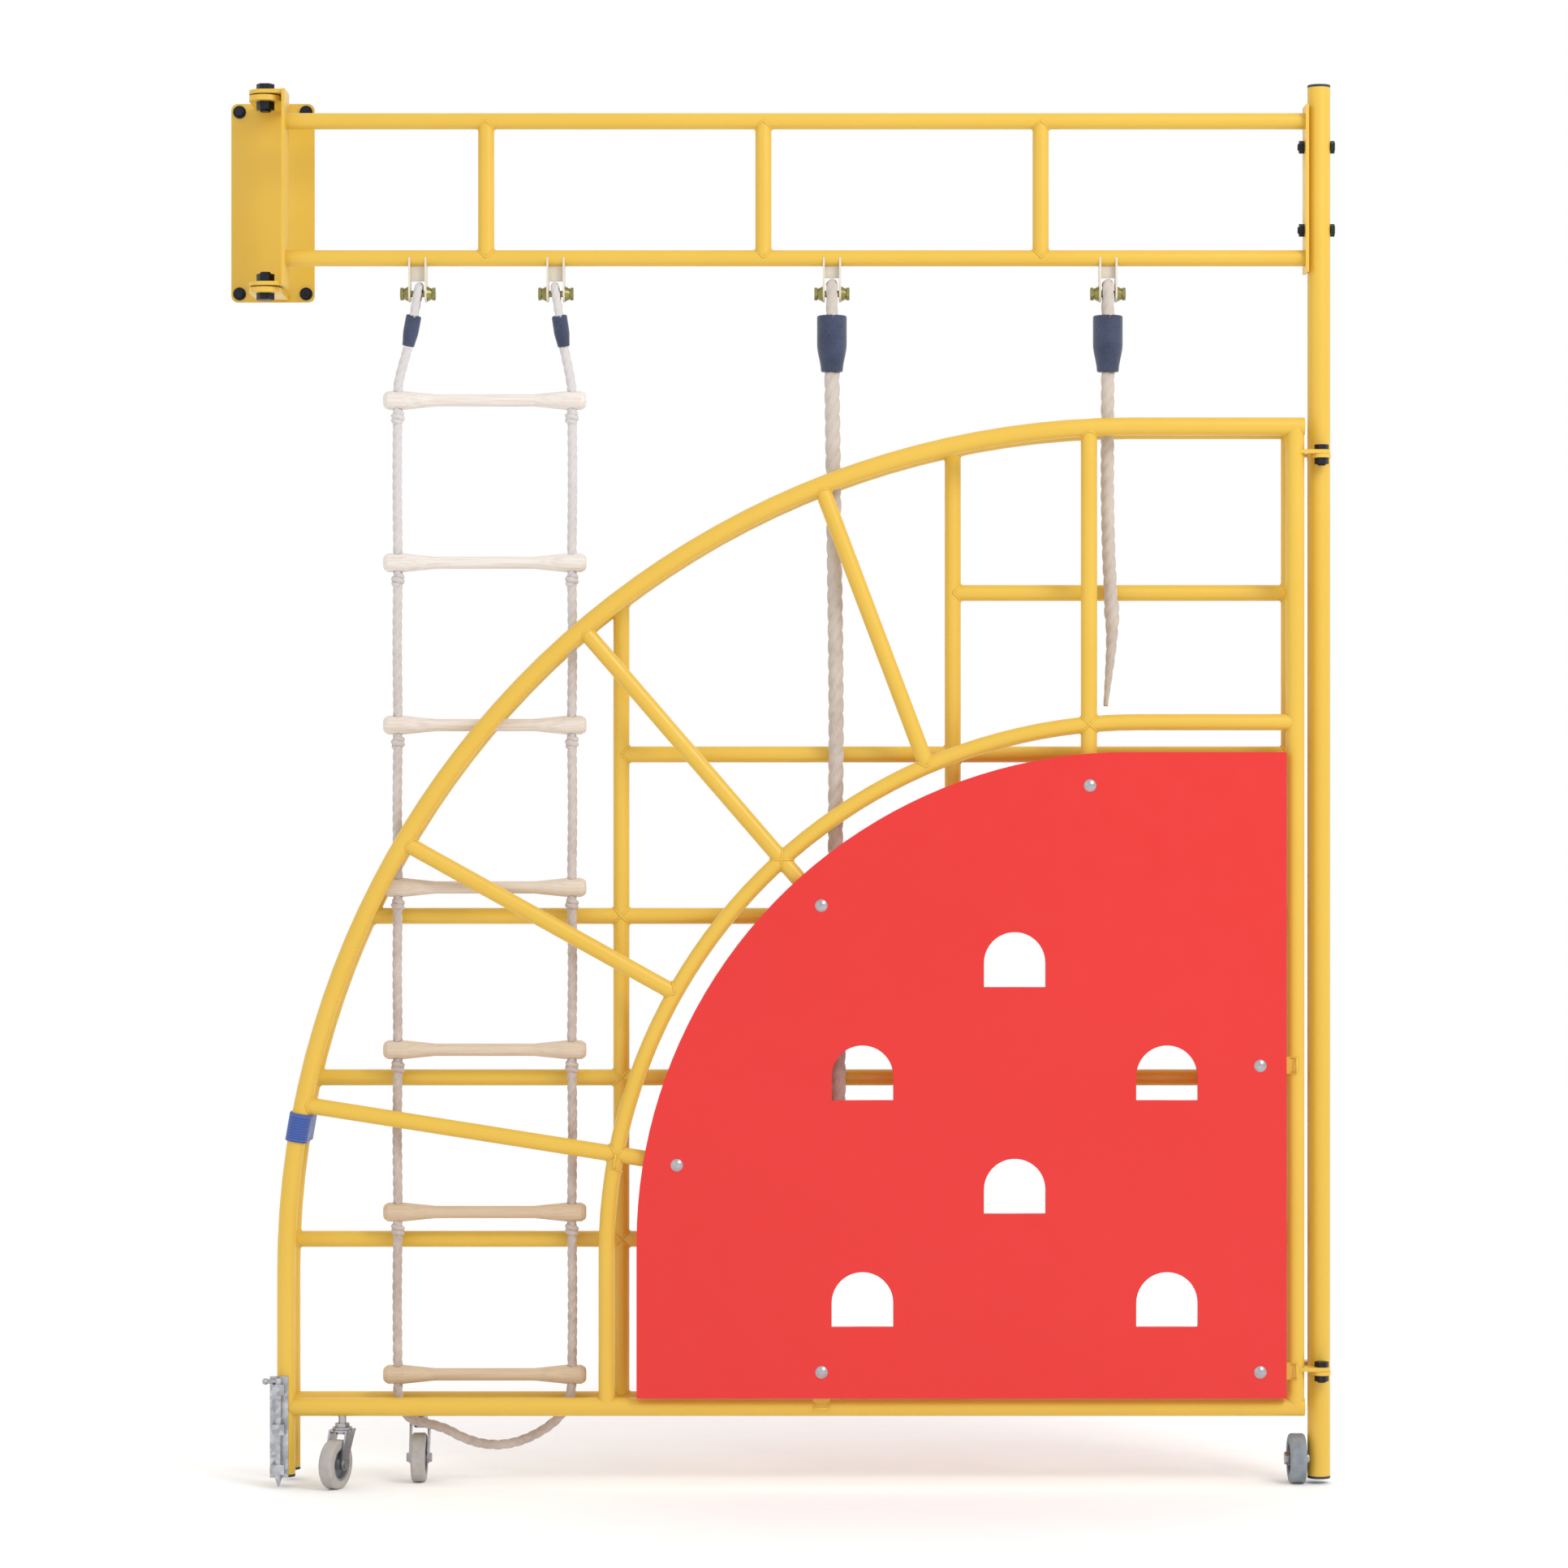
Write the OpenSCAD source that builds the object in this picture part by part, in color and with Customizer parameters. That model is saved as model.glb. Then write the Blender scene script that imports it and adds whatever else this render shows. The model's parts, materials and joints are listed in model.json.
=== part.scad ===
// Folding wall-hung climbing gate: a beam and post that swing on a wall bracket, two quarter-arc
// climbing leaves hinged to the post, a rope ladder and two climbing ropes hung from the beam.
// Inside the modules X runs along the beam from the bracket's pivot, Y goes towards the wall from
// the beam's plane, and Z is the height above the floor.

/* [Wall bracket] */
// Width of the wall plate
plate_w = 130; // [125:5:170]
// Height of the wall plate
plate_h = 310; // [305:5:380]
// Thickness of the wall plate
plate_t = 5; // [4:1:10]
// Corner radius of the wall plate
plate_corner_r = 10; // [6:1:16]
// Distance from a plate edge to the anchor bolts beside it
anchor_edge = 13; // [13:1:20]
// Diameter of the wall anchor bolts
anchor_d = 10; // [8:1:12]
// Length of an anchor bolt inside the wall
anchor_depth = 60; // [40:5:100]
// Distance from the wall to the pivot axis
pivot_off = 100; // [98:1:140]
// Height of the plate's centre above the floor
mount_h = 1984; // [1980:1:1990]
// Height of the upper pivot ear's top face
pivot_hi = 2135; // [2130:1:2145]
// Height of the lower pivot ear's top face
pivot_lo = 1840; // [1835:1:1850]
// Diameter of the pivot bolts
pivot_d = 16; // [12:1:20]
// Width of the pivot ears and lugs
ear_w = 50; // [44:1:52]
// Thickness of the pivot ears
ear_t = 8; // [6:1:10]
// Thickness of the lugs that turn on them
lug_t = 6; // [5:1:10]

/* [Beam and post] */
// Diameter of the beam's rails and struts
rail_d = 25; // [20:1:30]
// Wall of every 25 mm and 28 mm tube
tube_wall = 2; // [1.5:0.5:3]
// Height of the upper rail
rail_hi = 2097; // [2090:1:2105]
// Height of the lower rail
rail_lo = 1886; // [1880:1:1895]
// Distance of the first strut from the pivot axis
strut_first = 340; // [250:10:420]
// Distance from strut to strut
strut_pitch = 427; // [300:1:440]
// Distance from the pivot axis to the beam's inner end plate
pivot_plate_x = 28; // [28:1:40]
// Thickness of the beam's end plates
end_plate_t = 5; // [4:1:8]
// Depth of the inner end plate
pivot_plate_depth = 60; // [50:2:80]
// Depth of the outer end plate
post_plate_depth = 44; // [36:2:60]
// How far the outer end plate reaches past the rails' axes
post_plate_over = 23; // [16:1:30]
// Distance from the pivot axis to the post's axis
post_x = 1622.5; // [1600:0.5:1960]
// Diameter of the post
post_d = 35; // [30:1:38]
// Wall of the post
post_wall = 2.5; // [2:0.5:4]
// Height of the post's top
post_top = 2152; // [2145:1:2300]
// Height of the post's foot above the floor
post_foot = 12; // [8:1:14]
// Diameter of the bolts that hold the beam to the post
beam_bolt_d = 10; // [8:1:12]
// Height of each beam bolt
beam_bolt_z = [2057, 1929];

/* [Leaves] */
// Distance of each leaf's plane from the beam's plane
leaf_off = 34; // [33:1:40]
// Diameter of a leaf's outer tube, hinge tube and bottom rail
leaf_d = 28; // [25:1:30]
// Diameter of the spokes, rungs and inner arc
inner_d = 25; // [20:1:28]
// Distance from the pivot axis to a leaf's foot tube
foot_x = 36; // [36:1:60]
// Distance from the post's axis to a leaf's hinge tube
hinge_reach = 40.5; // [39:0.5:50]
// Radius of the outer arc
arc_r = 1295; // [1100:5:1400]
// Height of a leaf's top tube
arc_top = 1624; // [1600:1:1640]
// Radius of the inner arc
inner_r = 815; // [740:5:850]
// Distance from the pivot axis to the inner arc's upright leg
inner_x = 527; // [500:1:560]
// Height of the inner arc's straight top
inner_top = 1171; // [1160:1:1200]
// Height of the bottom rail
bottom_z = 122; // [121:1:130]
// Height of a leaf's foot above the floor
foot_z = 20; // [14:1:30]
// Point that the front leaf's spokes aim at, as distance from the pivot axis and height
spoke_hub = [1287, 391];
// Slope of the lowest spoke
spoke_first = 9; // [6:0.5:12]
// Angle from spoke to spoke
spoke_step = 20.1; // [18:0.1:21]
// Distance from the pivot axis to the upright spoke at the top
top_spoke_x = 1266; // [1250:1:1275]
// Distance of each upright of the back leaf from the pivot axis
upright_x = [547, 1060];
// Height of the back leaf's lowest rung
rung_first = 372; // [350:1:380]
// Height from rung to rung
rung_pitch = 250; // [220:1:255]

/* [Leaf hinges] */
// Height of the ears' meeting face, for each pair of hinges
hinge_z = [1582, 177];
// Diameter of the hinge bolts
hinge_bolt_d = 12; // [10:1:12]
// Width of the hinge ears
hinge_ear_w = 28; // [24:1:30]
// Thickness of a hinge ear
hinge_ear_t = 6; // [5:1:8]

/* [Climbing panel] */
// Radius of the panel's rounded edge
panel_r = 750; // [680:5:760]
// Distance from the pivot axis to the centre of the rounded edge
panel_cx = 1323.5; // [1318:0.5:1335]
// Height of the centre of the rounded edge
panel_cz = 375; // [370:1:385]
// Thickness of the panel
panel_t = 12; // [10:1:15]
// Gap between the panel's straight edges and the tubes beside them
panel_gap = 2; // [1:0.5:6]
// Width of a foothold
hold_w = 94; // [80:1:115]
// Height of a foothold
hold_h = 84; // [75:1:105]
// Distance from the pivot axis to the left column of footholds
hold_x = 918.5; // [900:0.5:930]
// Height of the lowest footholds' flat edge
hold_z = 247; // [240:1:260]
// Distance from column to column
hold_pitch_x = 232.5; // [200:0.5:240]
// Height from row to row
hold_pitch_z = 173; // [150:1:190]
// Diameter of the panel's bolts
panel_bolt_d = 8; // [6:1:8]
// Distance of the bolts on the spokes from the spokes' hub
panel_bolt_r = 660; // [650:1:670]
// Distance of the bolts on tabs from the panel's straight edges
panel_bolt_inset = 40; // [30:1:50]
// Height of the bolt beside the middle of the hinge tube
side_bolt_z = 646; // [600:5:700]
// Distance from the pivot axis to the bolt over the bottom rail
low_bolt_x = 856; // [820:1:880]

/* [Ladder and ropes] */
// Distance of the ladder's hangers from the pivot axis
ladder_hanger_x = [235, 447.5];
// Distance of the rope hangers from the pivot axis
rope_hanger_x = [872.5, 1297.5];
// Drop from the lower rail's axis to the hanger bolts
hanger_drop = 55; // [50:1:70]
// Gap between a hanger's two cheeks
cheek_gap = 22; // [22:1:30]
// Thickness of a cheek
cheek_t = 3; // [2:0.5:5]
// Diameter of the hanger bolts
hanger_bolt_d = 10; // [8:1:12]
// Diameter of the ladder's rope
ladder_rope_d = 15; // [12:1:16]
// Height of the ladder's lowest rung
ladder_first = 167; // [160:1:172]
// Height from ladder rung to ladder rung
ladder_pitch = 250; // [220:1:250]
// Number of ladder rungs
ladder_count = 7; // [5:1:7]
// Length of a ladder rung
ladder_rung_l = 312; // [305:1:340]
// Diameter of a ladder rung at its middle
ladder_rung_d = 19; // [16:1:22]
// Diameter of the knob at a ladder rung's end
knob_d = 29; // [26:1:31]
// Diameter of the plain climbing rope
rope_1_d = 24; // [20:1:26]
// Diameter of the tapered rope
rope_2_d = 21; // [18:1:24]

/* [Wheels] */
// Diameter of the wheel on the post
post_wheel_d = 76; // [60:1:80]
// Width of the wheel on the post
post_wheel_w = 25; // [20:1:30]
// Diameter of a castor's wheel
castor_d = 75; // [60:1:76]
// Width of a castor's wheel
castor_w = 22; // [18:1:24]
// Distance from a castor's swivel axis to its axle
castor_trail = 22; // [18:1:24]
// Diameter of a castor's swivel stem
stem_d = 12; // [10:1:14]
// Distance of the front leaf's castor from the pivot axis
castor_a_x = 122; // [116:1:126]
// Distance of the back leaf's castor from the pivot axis
castor_b_x = 236; // [232:1:244]
// Direction in which the front leaf's castor trails
castor_a_yaw = -112; // [-180:1:180]
// Direction in which the back leaf's castor trails
castor_b_yaw = -90; // [-180:1:180]

/* [Floor bolt and strap] */
// Diameter of the floor bolt's rod
rod_d = 10; // [8:1:12]
// Distance from the foot tube's axis to the rod
rod_shift = 9; // [8:1:12]
// Height of the rod's tip above the floor
rod_tip = 3; // [2:1:6]
// Length of the rod
rod_len = 166; // [160:1:190]
// Height of the strap's middle
strap_z = 550; // [400:1:560]
// Width of the strap along the tube
strap_w = 44; // [30:1:50]
// Thickness of the strap
strap_t = 2.5; // [2:0.5:4]

/* [Clearances] */
// Gap between a welded or bolted piece and the round tube it meets
weld_gap = 0.05; // [0.05:0.01:0.2]
// Radial clearance of a bolt or axle in its hole
shaft_gap = 0.05; // [0.02:0.01:0.09]
// Gap between flat faces that turn on each other
face_gap = 0.3; // [0.3:0.1:1]
// Radial room around a rope in a rung or a knot
rope_gap = 0.7; // [0.5:0.1:1.5]
// Gap between a rope's eye and its hanger bolt
eye_gap = 0.5; // [0.4:0.1:1]

/* [Hidden] */

$fn = 48;
eps = 1;

yellow = "#EBC03F";
dark = "#33343A";
zinc = "#B9BBBF";
bolt_grey = "#9A9CA0";
hanger_cream = "#D9D2C0";
olive_zinc = "#8C8757";
light_olive = "#A7A064";
rope_tan = "#C9B7A4";
strap_blue = "#3F62B8";
anchor_collar_d = anchor_d + 2;
wood = "#CFA97C";
navy = "#2F3F5C";
red = "#F0413B";
tyre_grey = "#7C8288";

hinge_tube_x = post_x - hinge_reach;
rail_end_x = hinge_tube_x + leaf_d / 2;
arc_cx = foot_x + arc_r;
arc_cz = arc_top - arc_r;
inner_cx = inner_x + inner_r;
inner_cz = inner_top - inner_r;
panel_right = hinge_tube_x - leaf_d / 2 - panel_gap;
panel_bottom = bottom_z + leaf_d / 2 + panel_gap;
panel_back = leaf_off + inner_d / 2;
post_plate_x = post_x - post_d / 2 - weld_gap - end_plate_t;
hanger_z = rail_lo - hanger_drop;

// Widths across flats of the hexagon heads and nuts
function hex_af(d) = d <= 8 ? 13 : d <= 10 ? 17 : d <= 12 ? 19 : 1.5 * d;
function hex_r(d) = hex_af(d) / sqrt(3);

// Unit direction of a front-leaf spoke that slopes by a, away from the hub
function spoke_dir(a) = [-cos(a), sin(a)];

// Distance from the spokes' hub, along slope a, to the circle of radius r about c
function spoke_hit(a, c, r) =
    let (h = spoke_hub - c, b = h * spoke_dir(a))
    -b + sqrt(b * b - (h * h - r * r));

// Where the outer arc's axis stands at height z
function arc_x(z) = z < arc_cz ? foot_x : arc_cx - sqrt(arc_r * arc_r - pow(z - arc_cz, 2));

spoke_slopes = [for (i = [0:3]) spoke_first + i * spoke_step];
stub_slopes = [spoke_slopes[0], spoke_slopes[2]];
ladder_knob_x = [204, 472];
ladder_mid_x = (ladder_knob_x[0] + ladder_knob_x[1]) / 2;
knot_h = 24;
knot_r = 13.5;
wrap_from_bolt = 34;
ladder_wrap_l = 48;
ladder_wrap_r = [12, 9.5];
rope_wrap_l = 86;
rope_wrap_r = [23, 17];
ladder_lean = [for (i = [0, 1])
    atan2(ladder_knob_x[i] - ladder_hanger_x[i],
        hanger_z - ladder_first - (ladder_count - 1) * ladder_pitch)];

// The ladder's one rope: down the left side, in a slack loop under the bottom rung, up the right
ladder_route = [[219.3, 0, 1748], [206, 0, 1698], [204, 0, 1667], [203, 0, 1540], [204, 0, 1417],
    [203, 0, 1290], [204, 0, 1167], [203, 0, 1040], [204, 0, 917], [203, 0, 790], [204, 0, 667],
    [203, 0, 540], [204, 0, 417], [203, 0, 290], [204, 0, 167], [205, 0, 134], [213, 0, 110], [231, 0, 96],
    [256, 0, 90], [280, 0, 82], [304, 0, 70], [332, 0, 61], [364, 0, 59], [396, 0, 66],
    [430, 0, 83], [456, 0, 106], [469, 0, 134], [472, 0, 167], [473, 0, 290], [472, 0, 417],
    [473, 0, 540], [472, 0, 667], [473, 0, 790], [472, 0, 917], [473, 0, 1040], [472, 0, 1167],
    [473, 0, 1290], [472, 0, 1417], [473, 0, 1540], [472, 0, 1667], [470, 0, 1698], [459.7, 0, 1749]];
// The plain rope, from its wrap to its taped end
climbing_route = [[872.5, 0, 1710], [874, 0, 1600], [876, 0, 1450], [878, 0, 1300], [879, 0, 1150],
    [878, 0, 1000], [879, 0, 850], [881, 0, 720], [882, 0, 630], [882, 0, 546]];
// The tapered rope, from its wrap over its splice to the end of its thin tail
tapered_route = [[1297.5, 0, 1710], [1297, 0, 1620], [1297, 0, 1520], [1299, 0, 1430],
    [1302, 0, 1370], [1304, 0, 1330], [1303, 0, 1290], [1299, 0, 1245], [1294, 0, 1196]];

// A point on the smooth curve through a route, s counted in route points
function at(route, s) =
    let (n = len(route) - 1, i = min(floor(s), n - 1), t = s - i,
        a = route[max(i - 1, 0)], b = route[i], c = route[i + 1], d = route[min(i + 2, n)])
    0.5 * (2 * b + (c - a) * t + (2 * a - 5 * b + 4 * c - d) * t * t
        + (3 * b - a - 3 * c + d) * t * t * t);
function unit(v) = v / norm(v);

// A cord along a route: rings of eight points, with radius radii[0] up to route point taper and
// then shrinking to radii[1] at the end
module cord(route, radii, step, taper = 1000) {
    n = len(route) - 1;
    stops = [for (i = [0:n * step]) i / step];
    sides = 8;
    rings = [for (s = stops)
        let (p = at(route, s),
            t = unit(at(route, min(s + 0.05, n)) - at(route, max(s - 0.05, 0))),
            side = unit(cross(t, [0, 1, 0])),
            r = s <= taper ? radii[0] : radii[0] + (radii[1] - radii[0]) * (s - taper) / (n - taper))
        [for (k = [0:sides - 1]) p + r * (cos(360 * k / sides) * side + sin(360 * k / sides) * [0, 1, 0])]];
    count = len(rings);
    points = [for (ring = rings) each ring];
    walls = [for (i = [0:count - 2], k = [0:sides - 1])
        let (m = (k + 1) % sides)
        [i * sides + k, (i + 1) * sides + k, (i + 1) * sides + m, i * sides + m]];
    caps = [[for (k = [0:sides - 1]) k], [for (k = [sides - 1:-1:0]) (count - 1) * sides + k]];
    polyhedron(points, concat(walls, caps), convexity = 10);
}

// Puts a piece from beam coordinates into the part's frame, whose origin is on the wall
module placed() {
    translate([0, -pivot_off, -mount_h]) children();
}

// Places a piece in the plane of a leaf: side -1 is the front leaf, 1 the back leaf
module on_leaf(side) {
    placed() translate([0, side * leaf_off, 0]) children();
}

module rod_x(x0, x1, d) {
    translate([x0, 0, 0]) rotate([0, 90, 0]) cylinder(h = x1 - x0, d = d);
}

module rod_y(y0, y1, d) {
    translate([0, y0, 0]) rotate([-90, 0, 0]) cylinder(h = y1 - y0, d = d);
}

module rod_z(z0, z1, d) {
    translate([0, 0, z0]) cylinder(h = z1 - z0, d = d);
}

module tube_x(x0, x1, d, wall) {
    difference() {
        rod_x(x0, x1, d);
        rod_x(x0 - eps, x1 + eps, d - 2 * wall);
    }
}

module tube_z(z0, z1, d, wall) {
    difference() {
        rod_z(z0, z1, d);
        rod_z(z0 - eps, z1 + eps, d - 2 * wall);
    }
}

// A bent bar of diameter d: a leg from foot up to the arc, a quarter arc, and a straight top
module bent_rod(d, r, cx, cz, foot, right) {
    translate([cx, 0, cz]) rotate([90, 0, 0]) rotate([0, 0, 90])
        rotate_extrude(angle = 90, $fn = 180) translate([r, 0]) circle(d = d, $fn = 48);
    translate([cx - r, 0, 0]) rod_z(foot, cz, d);
    translate([0, 0, cz + r]) rod_x(cx, right, d);
}

module outer_bar(d) {
    bent_rod(d, arc_r, arc_cx, arc_cz, foot_z - eps, rail_end_x + eps);
}

module inner_bar(d) {
    bent_rod(d, inner_r, inner_cx, inner_cz, bottom_z, hinge_tube_x);
}

// The bars that other tubes are notched to fit
module outer_cut() {
    outer_bar(leaf_d + 2 * weld_gap);
}

module inner_cut() {
    inner_bar(inner_d + 2 * weld_gap);
}

module hinge_tube_cut() {
    translate([hinge_tube_x, 0, 0]) rod_z(bottom_z - leaf_d, arc_top + leaf_d, leaf_d + 2 * weld_gap);
}

module bottom_cut() {
    translate([0, 0, bottom_z]) rod_x(foot_x, rail_end_x + eps, leaf_d + 2 * weld_gap);
}

// A hexagon nut or head lying along Z from z0, with a bore when bore is not 0
module hexagon(z0, h, size, bore = 0) {
    translate([0, 0, z0]) difference() {
        cylinder(h = h, r = hex_r(size), $fn = 6);
        if (bore > 0) translate([0, 0, -eps]) cylinder(h = h + 2 * eps, d = bore);
    }
}

// A plate with one round end about the origin, that runs to x = reach
module lug(reach, width, h, bore) {
    difference() {
        union() {
            cylinder(h = h, d = width);
            translate([min(0, reach), -width / 2, 0]) cube([abs(reach), width, h]);
        }
        translate([0, 0, -eps]) cylinder(h = h + 2 * eps, d = bore);
    }
}

// ---- Wall bracket ----

anchor_x = plate_w / 2 - anchor_edge;
anchor_z = plate_h / 2 - anchor_edge;
pivot_levels = [pivot_hi, pivot_lo];
washer_t = 2;
lug_gap = washer_t + face_gap;

module wall_plate() {
    core_w = plate_w - 2 * plate_corner_r;
    core_h = plate_h - 2 * plate_corner_r;
    color(yellow) difference() {
        union() {
            translate([-plate_w / 2, -plate_t, -core_h / 2]) cube([plate_w, plate_t, core_h]);
            translate([-core_w / 2, -plate_t, -plate_h / 2]) cube([core_w, plate_t, plate_h]);
            for (x = [-1, 1], z = [-1, 1]) translate([x * core_w / 2, 0, z * core_h / 2])
                rod_y(-plate_t, 0, 2 * plate_corner_r);
        }
        for (x = [-1, 1], z = [-1, 1]) translate([x * anchor_x, 0, z * anchor_z])
            rod_y(-plate_t - eps, eps, anchor_collar_d + 2 * shaft_gap);
    }
}

module pivot_ears() {
    reach = pivot_off - plate_t;
    color(yellow) for (level = pivot_levels) placed() translate([0, 0, level - ear_t])
        rotate([0, 0, 90]) lug(reach, ear_w, ear_t, pivot_d + 2 * shaft_gap);
}

// Each anchor has a thicker collar through the plate, and its plain shank starts at the wall
module anchor_bolts() {
    washer_r = anchor_d;
    washer_h = 2;
    head_h = 0.64 * anchor_d;
    color(dark) for (x = [-1, 1], z = [-1, 1]) translate([x * anchor_x, 0, z * anchor_z]) {
        rod_y(-plate_t - washer_h, 0, anchor_collar_d);
        rod_y(-plate_t, anchor_depth, anchor_d);
        rod_y(-plate_t - washer_h, -plate_t, 2 * washer_r);
        translate([0, -plate_t - washer_h, 0]) rotate([90, 0, 0]) hexagon(0, head_h, anchor_d - 2);
    }
}

module pivot_bolts() {
    head_h = 0.64 * pivot_d;
    tail = 3;
    top = lug_gap + lug_t + face_gap;
    low = -ear_t - nut_h(pivot_d) - tail;
    color(dark) {
        placed() translate([0, 0, pivot_hi]) {
            rod_z(low, top, pivot_d);
            hexagon(top, head_h, pivot_d);
        }
        placed() translate([0, 0, pivot_lo]) {
            rod_z(-ear_t, top + nut_h(pivot_d) + tail, pivot_d);
            hexagon(-ear_t - head_h, head_h, pivot_d);
        }
    }
}

function nut_h(d) = 0.8 * d;

module pivot_nuts() {
    bore = pivot_d + 2 * shaft_gap;
    color(dark) {
        placed() hexagon(pivot_hi - ear_t - nut_h(pivot_d), nut_h(pivot_d), pivot_d, bore);
        placed() hexagon(pivot_lo + lug_gap + lug_t + face_gap, nut_h(pivot_d), pivot_d, bore);
    }
}

module thrust_washers() {
    color(zinc) for (level = pivot_levels) placed() translate([0, 0, level])
        tube_z(0, washer_t, 2.1 * pivot_d, 0.55 * pivot_d - shaft_gap);
}

// ---- Beam ----

module pivot_plate() {
    bottom = pivot_lo + lug_gap;
    color(yellow) placed() translate([pivot_plate_x, -pivot_plate_depth / 2, bottom])
        cube([end_plate_t, pivot_plate_depth, pivot_hi + lug_gap + lug_t - bottom]);
}

module pivot_lugs() {
    color(yellow) for (level = pivot_levels) placed() translate([0, 0, level + lug_gap])
        lug(pivot_plate_x, ear_w, lug_t, pivot_d + 2 * shaft_gap);
}

module beam_rails() {
    start = pivot_plate_x + end_plate_t;
    color(yellow) for (z = [rail_hi, rail_lo]) placed() translate([0, 0, z])
        tube_x(start, post_plate_x, rail_d, tube_wall);
}

module beam_struts() {
    cut = rail_d + 2 * weld_gap;
    color(yellow) for (i = [0:2]) placed() difference() {
        translate([strut_first + i * strut_pitch, 0, 0]) tube_z(rail_lo, rail_hi, rail_d, tube_wall);
        for (z = [rail_hi, rail_lo]) translate([0, 0, z])
            rod_x(strut_first - 100, post_plate_x, cut);
    }
}

module post_plate() {
    color(yellow) placed() difference() {
        translate([post_plate_x, -post_plate_depth / 2, rail_lo - post_plate_over])
            cube([end_plate_t, post_plate_depth, rail_hi - rail_lo + 2 * post_plate_over]);
        for (z = beam_bolt_z) translate([0, 0, z])
            rod_x(post_plate_x - eps, post_x, beam_bolt_d + 2 * shaft_gap);
    }
}

module beam_bolts() {
    head_h = 0.64 * beam_bolt_d;
    right = post_x + post_d / 2 + weld_gap;
    tail = 2;
    left = post_plate_x - nut_h(beam_bolt_d) - tail;
    color(dark) for (z = beam_bolt_z) placed() translate([0, 0, z]) {
        rod_x(left, right, beam_bolt_d);
        translate([right, 0, 0]) rotate([0, 90, 0]) hexagon(0, head_h, beam_bolt_d);
        translate([post_plate_x, 0, 0]) rotate([0, -90, 0])
            hexagon(0, nut_h(beam_bolt_d), beam_bolt_d, beam_bolt_d + 2 * shaft_gap);
    }
}

// ---- Post ----

wheel_z = post_wheel_d / 2;
axle_d = 10;
wheel_inner_x = post_x - post_d / 2 - 4;
wheel_outer_x = wheel_inner_x - post_wheel_w;

module post() {
    color(yellow) placed() difference() {
        translate([post_x, 0, 0]) tube_z(post_foot, post_top - cap_t, post_d, post_wall);
        for (z = beam_bolt_z) translate([0, 0, z])
            rod_x(post_x - post_d, post_x + post_d, beam_bolt_d + 2 * shaft_gap);
        translate([0, 0, wheel_z]) rod_x(post_x - post_d, post_x, axle_d + 2 * shaft_gap);
    }
}

cap_t = 4;
cap_plug = 10;

module post_caps() {
    plug_d = post_d - 2 * post_wall - 2 * weld_gap;
    color(dark) placed() translate([post_x, 0, 0]) {
        rod_z(post_top - cap_t, post_top, post_d);
        rod_z(post_top - cap_t - cap_plug, post_top - cap_t, plug_d);
        rod_z(post_foot - cap_t, post_foot, post_d);
        rod_z(post_foot, post_foot + cap_plug, plug_d);
    }
}

module post_ears() {
    color(yellow) for (side = [-1, 1], z = hinge_z) placed() difference() {
        translate([post_x, side * leaf_off, z - hinge_ear_t]) rotate([0, 0, -side * 90])
            lug(leaf_off, hinge_ear_w, hinge_ear_t, hinge_bolt_d + 2 * shaft_gap);
        translate([post_x, 0, 0]) rod_z(z - 2 * hinge_ear_t, z + hinge_ear_t, post_d + 2 * weld_gap);
    }
}

module hinge_bolts() {
    head_h = 0.64 * hinge_bolt_d;
    top = hinge_ear_t + 2 * face_gap;
    low = -hinge_ear_t - nut_h(hinge_bolt_d) - 2;
    color(dark) for (side = [-1, 1], z = hinge_z) placed() translate([post_x, side * leaf_off, z]) {
        rod_z(low, top, hinge_bolt_d);
        hexagon(top, head_h, hinge_bolt_d);
    }
}

module hinge_nuts() {
    bore = hinge_bolt_d + 2 * shaft_gap;
    color(dark) for (side = [-1, 1], z = hinge_z) placed() translate([post_x, side * leaf_off, z])
        hexagon(-hinge_ear_t - nut_h(hinge_bolt_d), nut_h(hinge_bolt_d), hinge_bolt_d, bore);
}

module wheel_axle() {
    collar_d = 18;
    head_h = 0.64 * axle_d;
    outer = wheel_outer_x - face_gap;
    color(zinc) placed() translate([0, 0, wheel_z]) {
        rod_x(outer, post_x - post_d / 2 + post_wall, axle_d);
        difference() {
            rod_x(wheel_inner_x + face_gap, post_x, collar_d);
            translate([post_x, 0, -post_d]) rod_z(0, 2 * post_d, post_d + 2 * weld_gap);
        }
        translate([outer, 0, 0]) rotate([0, -90, 0]) hexagon(0, head_h, axle_d);
    }
}

// A wheel's hub about the X axis, with a rim that the tyre sits on
module wheel_hub(x0, w, d, bore) {
    rim_t = 3;
    web_t = 6;
    hub_d = 2.2 * bore;
    difference() {
        union() {
            rod_x(x0 + w / 2 - web_t / 2, x0 + w / 2 + web_t / 2, d);
            rod_x(x0, x0 + w, hub_d);
            difference() {
                rod_x(x0 + 1, x0 + w - 1, d);
                rod_x(x0 - eps, x0 + w + eps, d - 2 * rim_t);
            }
        }
        rod_x(x0 - eps, x0 + w + eps, bore);
    }
}

// A tyre about the X axis with a rounded tread
module tyre(x0, w, d, inner) {
    edge = w / 5;
    translate([x0, 0, 0]) rotate([0, 90, 0]) rotate_extrude() {
        translate([inner / 2, 0]) square([d / 2 - inner / 2 - edge, w]);
        translate([inner / 2, edge]) square([d / 2 - inner / 2, w - 2 * edge]);
        for (z = [edge, w - edge]) translate([d / 2 - edge, z]) circle(r = edge);
    }
}

module post_wheel_hub() {
    color(zinc) placed() translate([0, 0, wheel_z])
        wheel_hub(wheel_outer_x, post_wheel_w, 0.68 * post_wheel_d, axle_d + 2 * shaft_gap);
}

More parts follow.
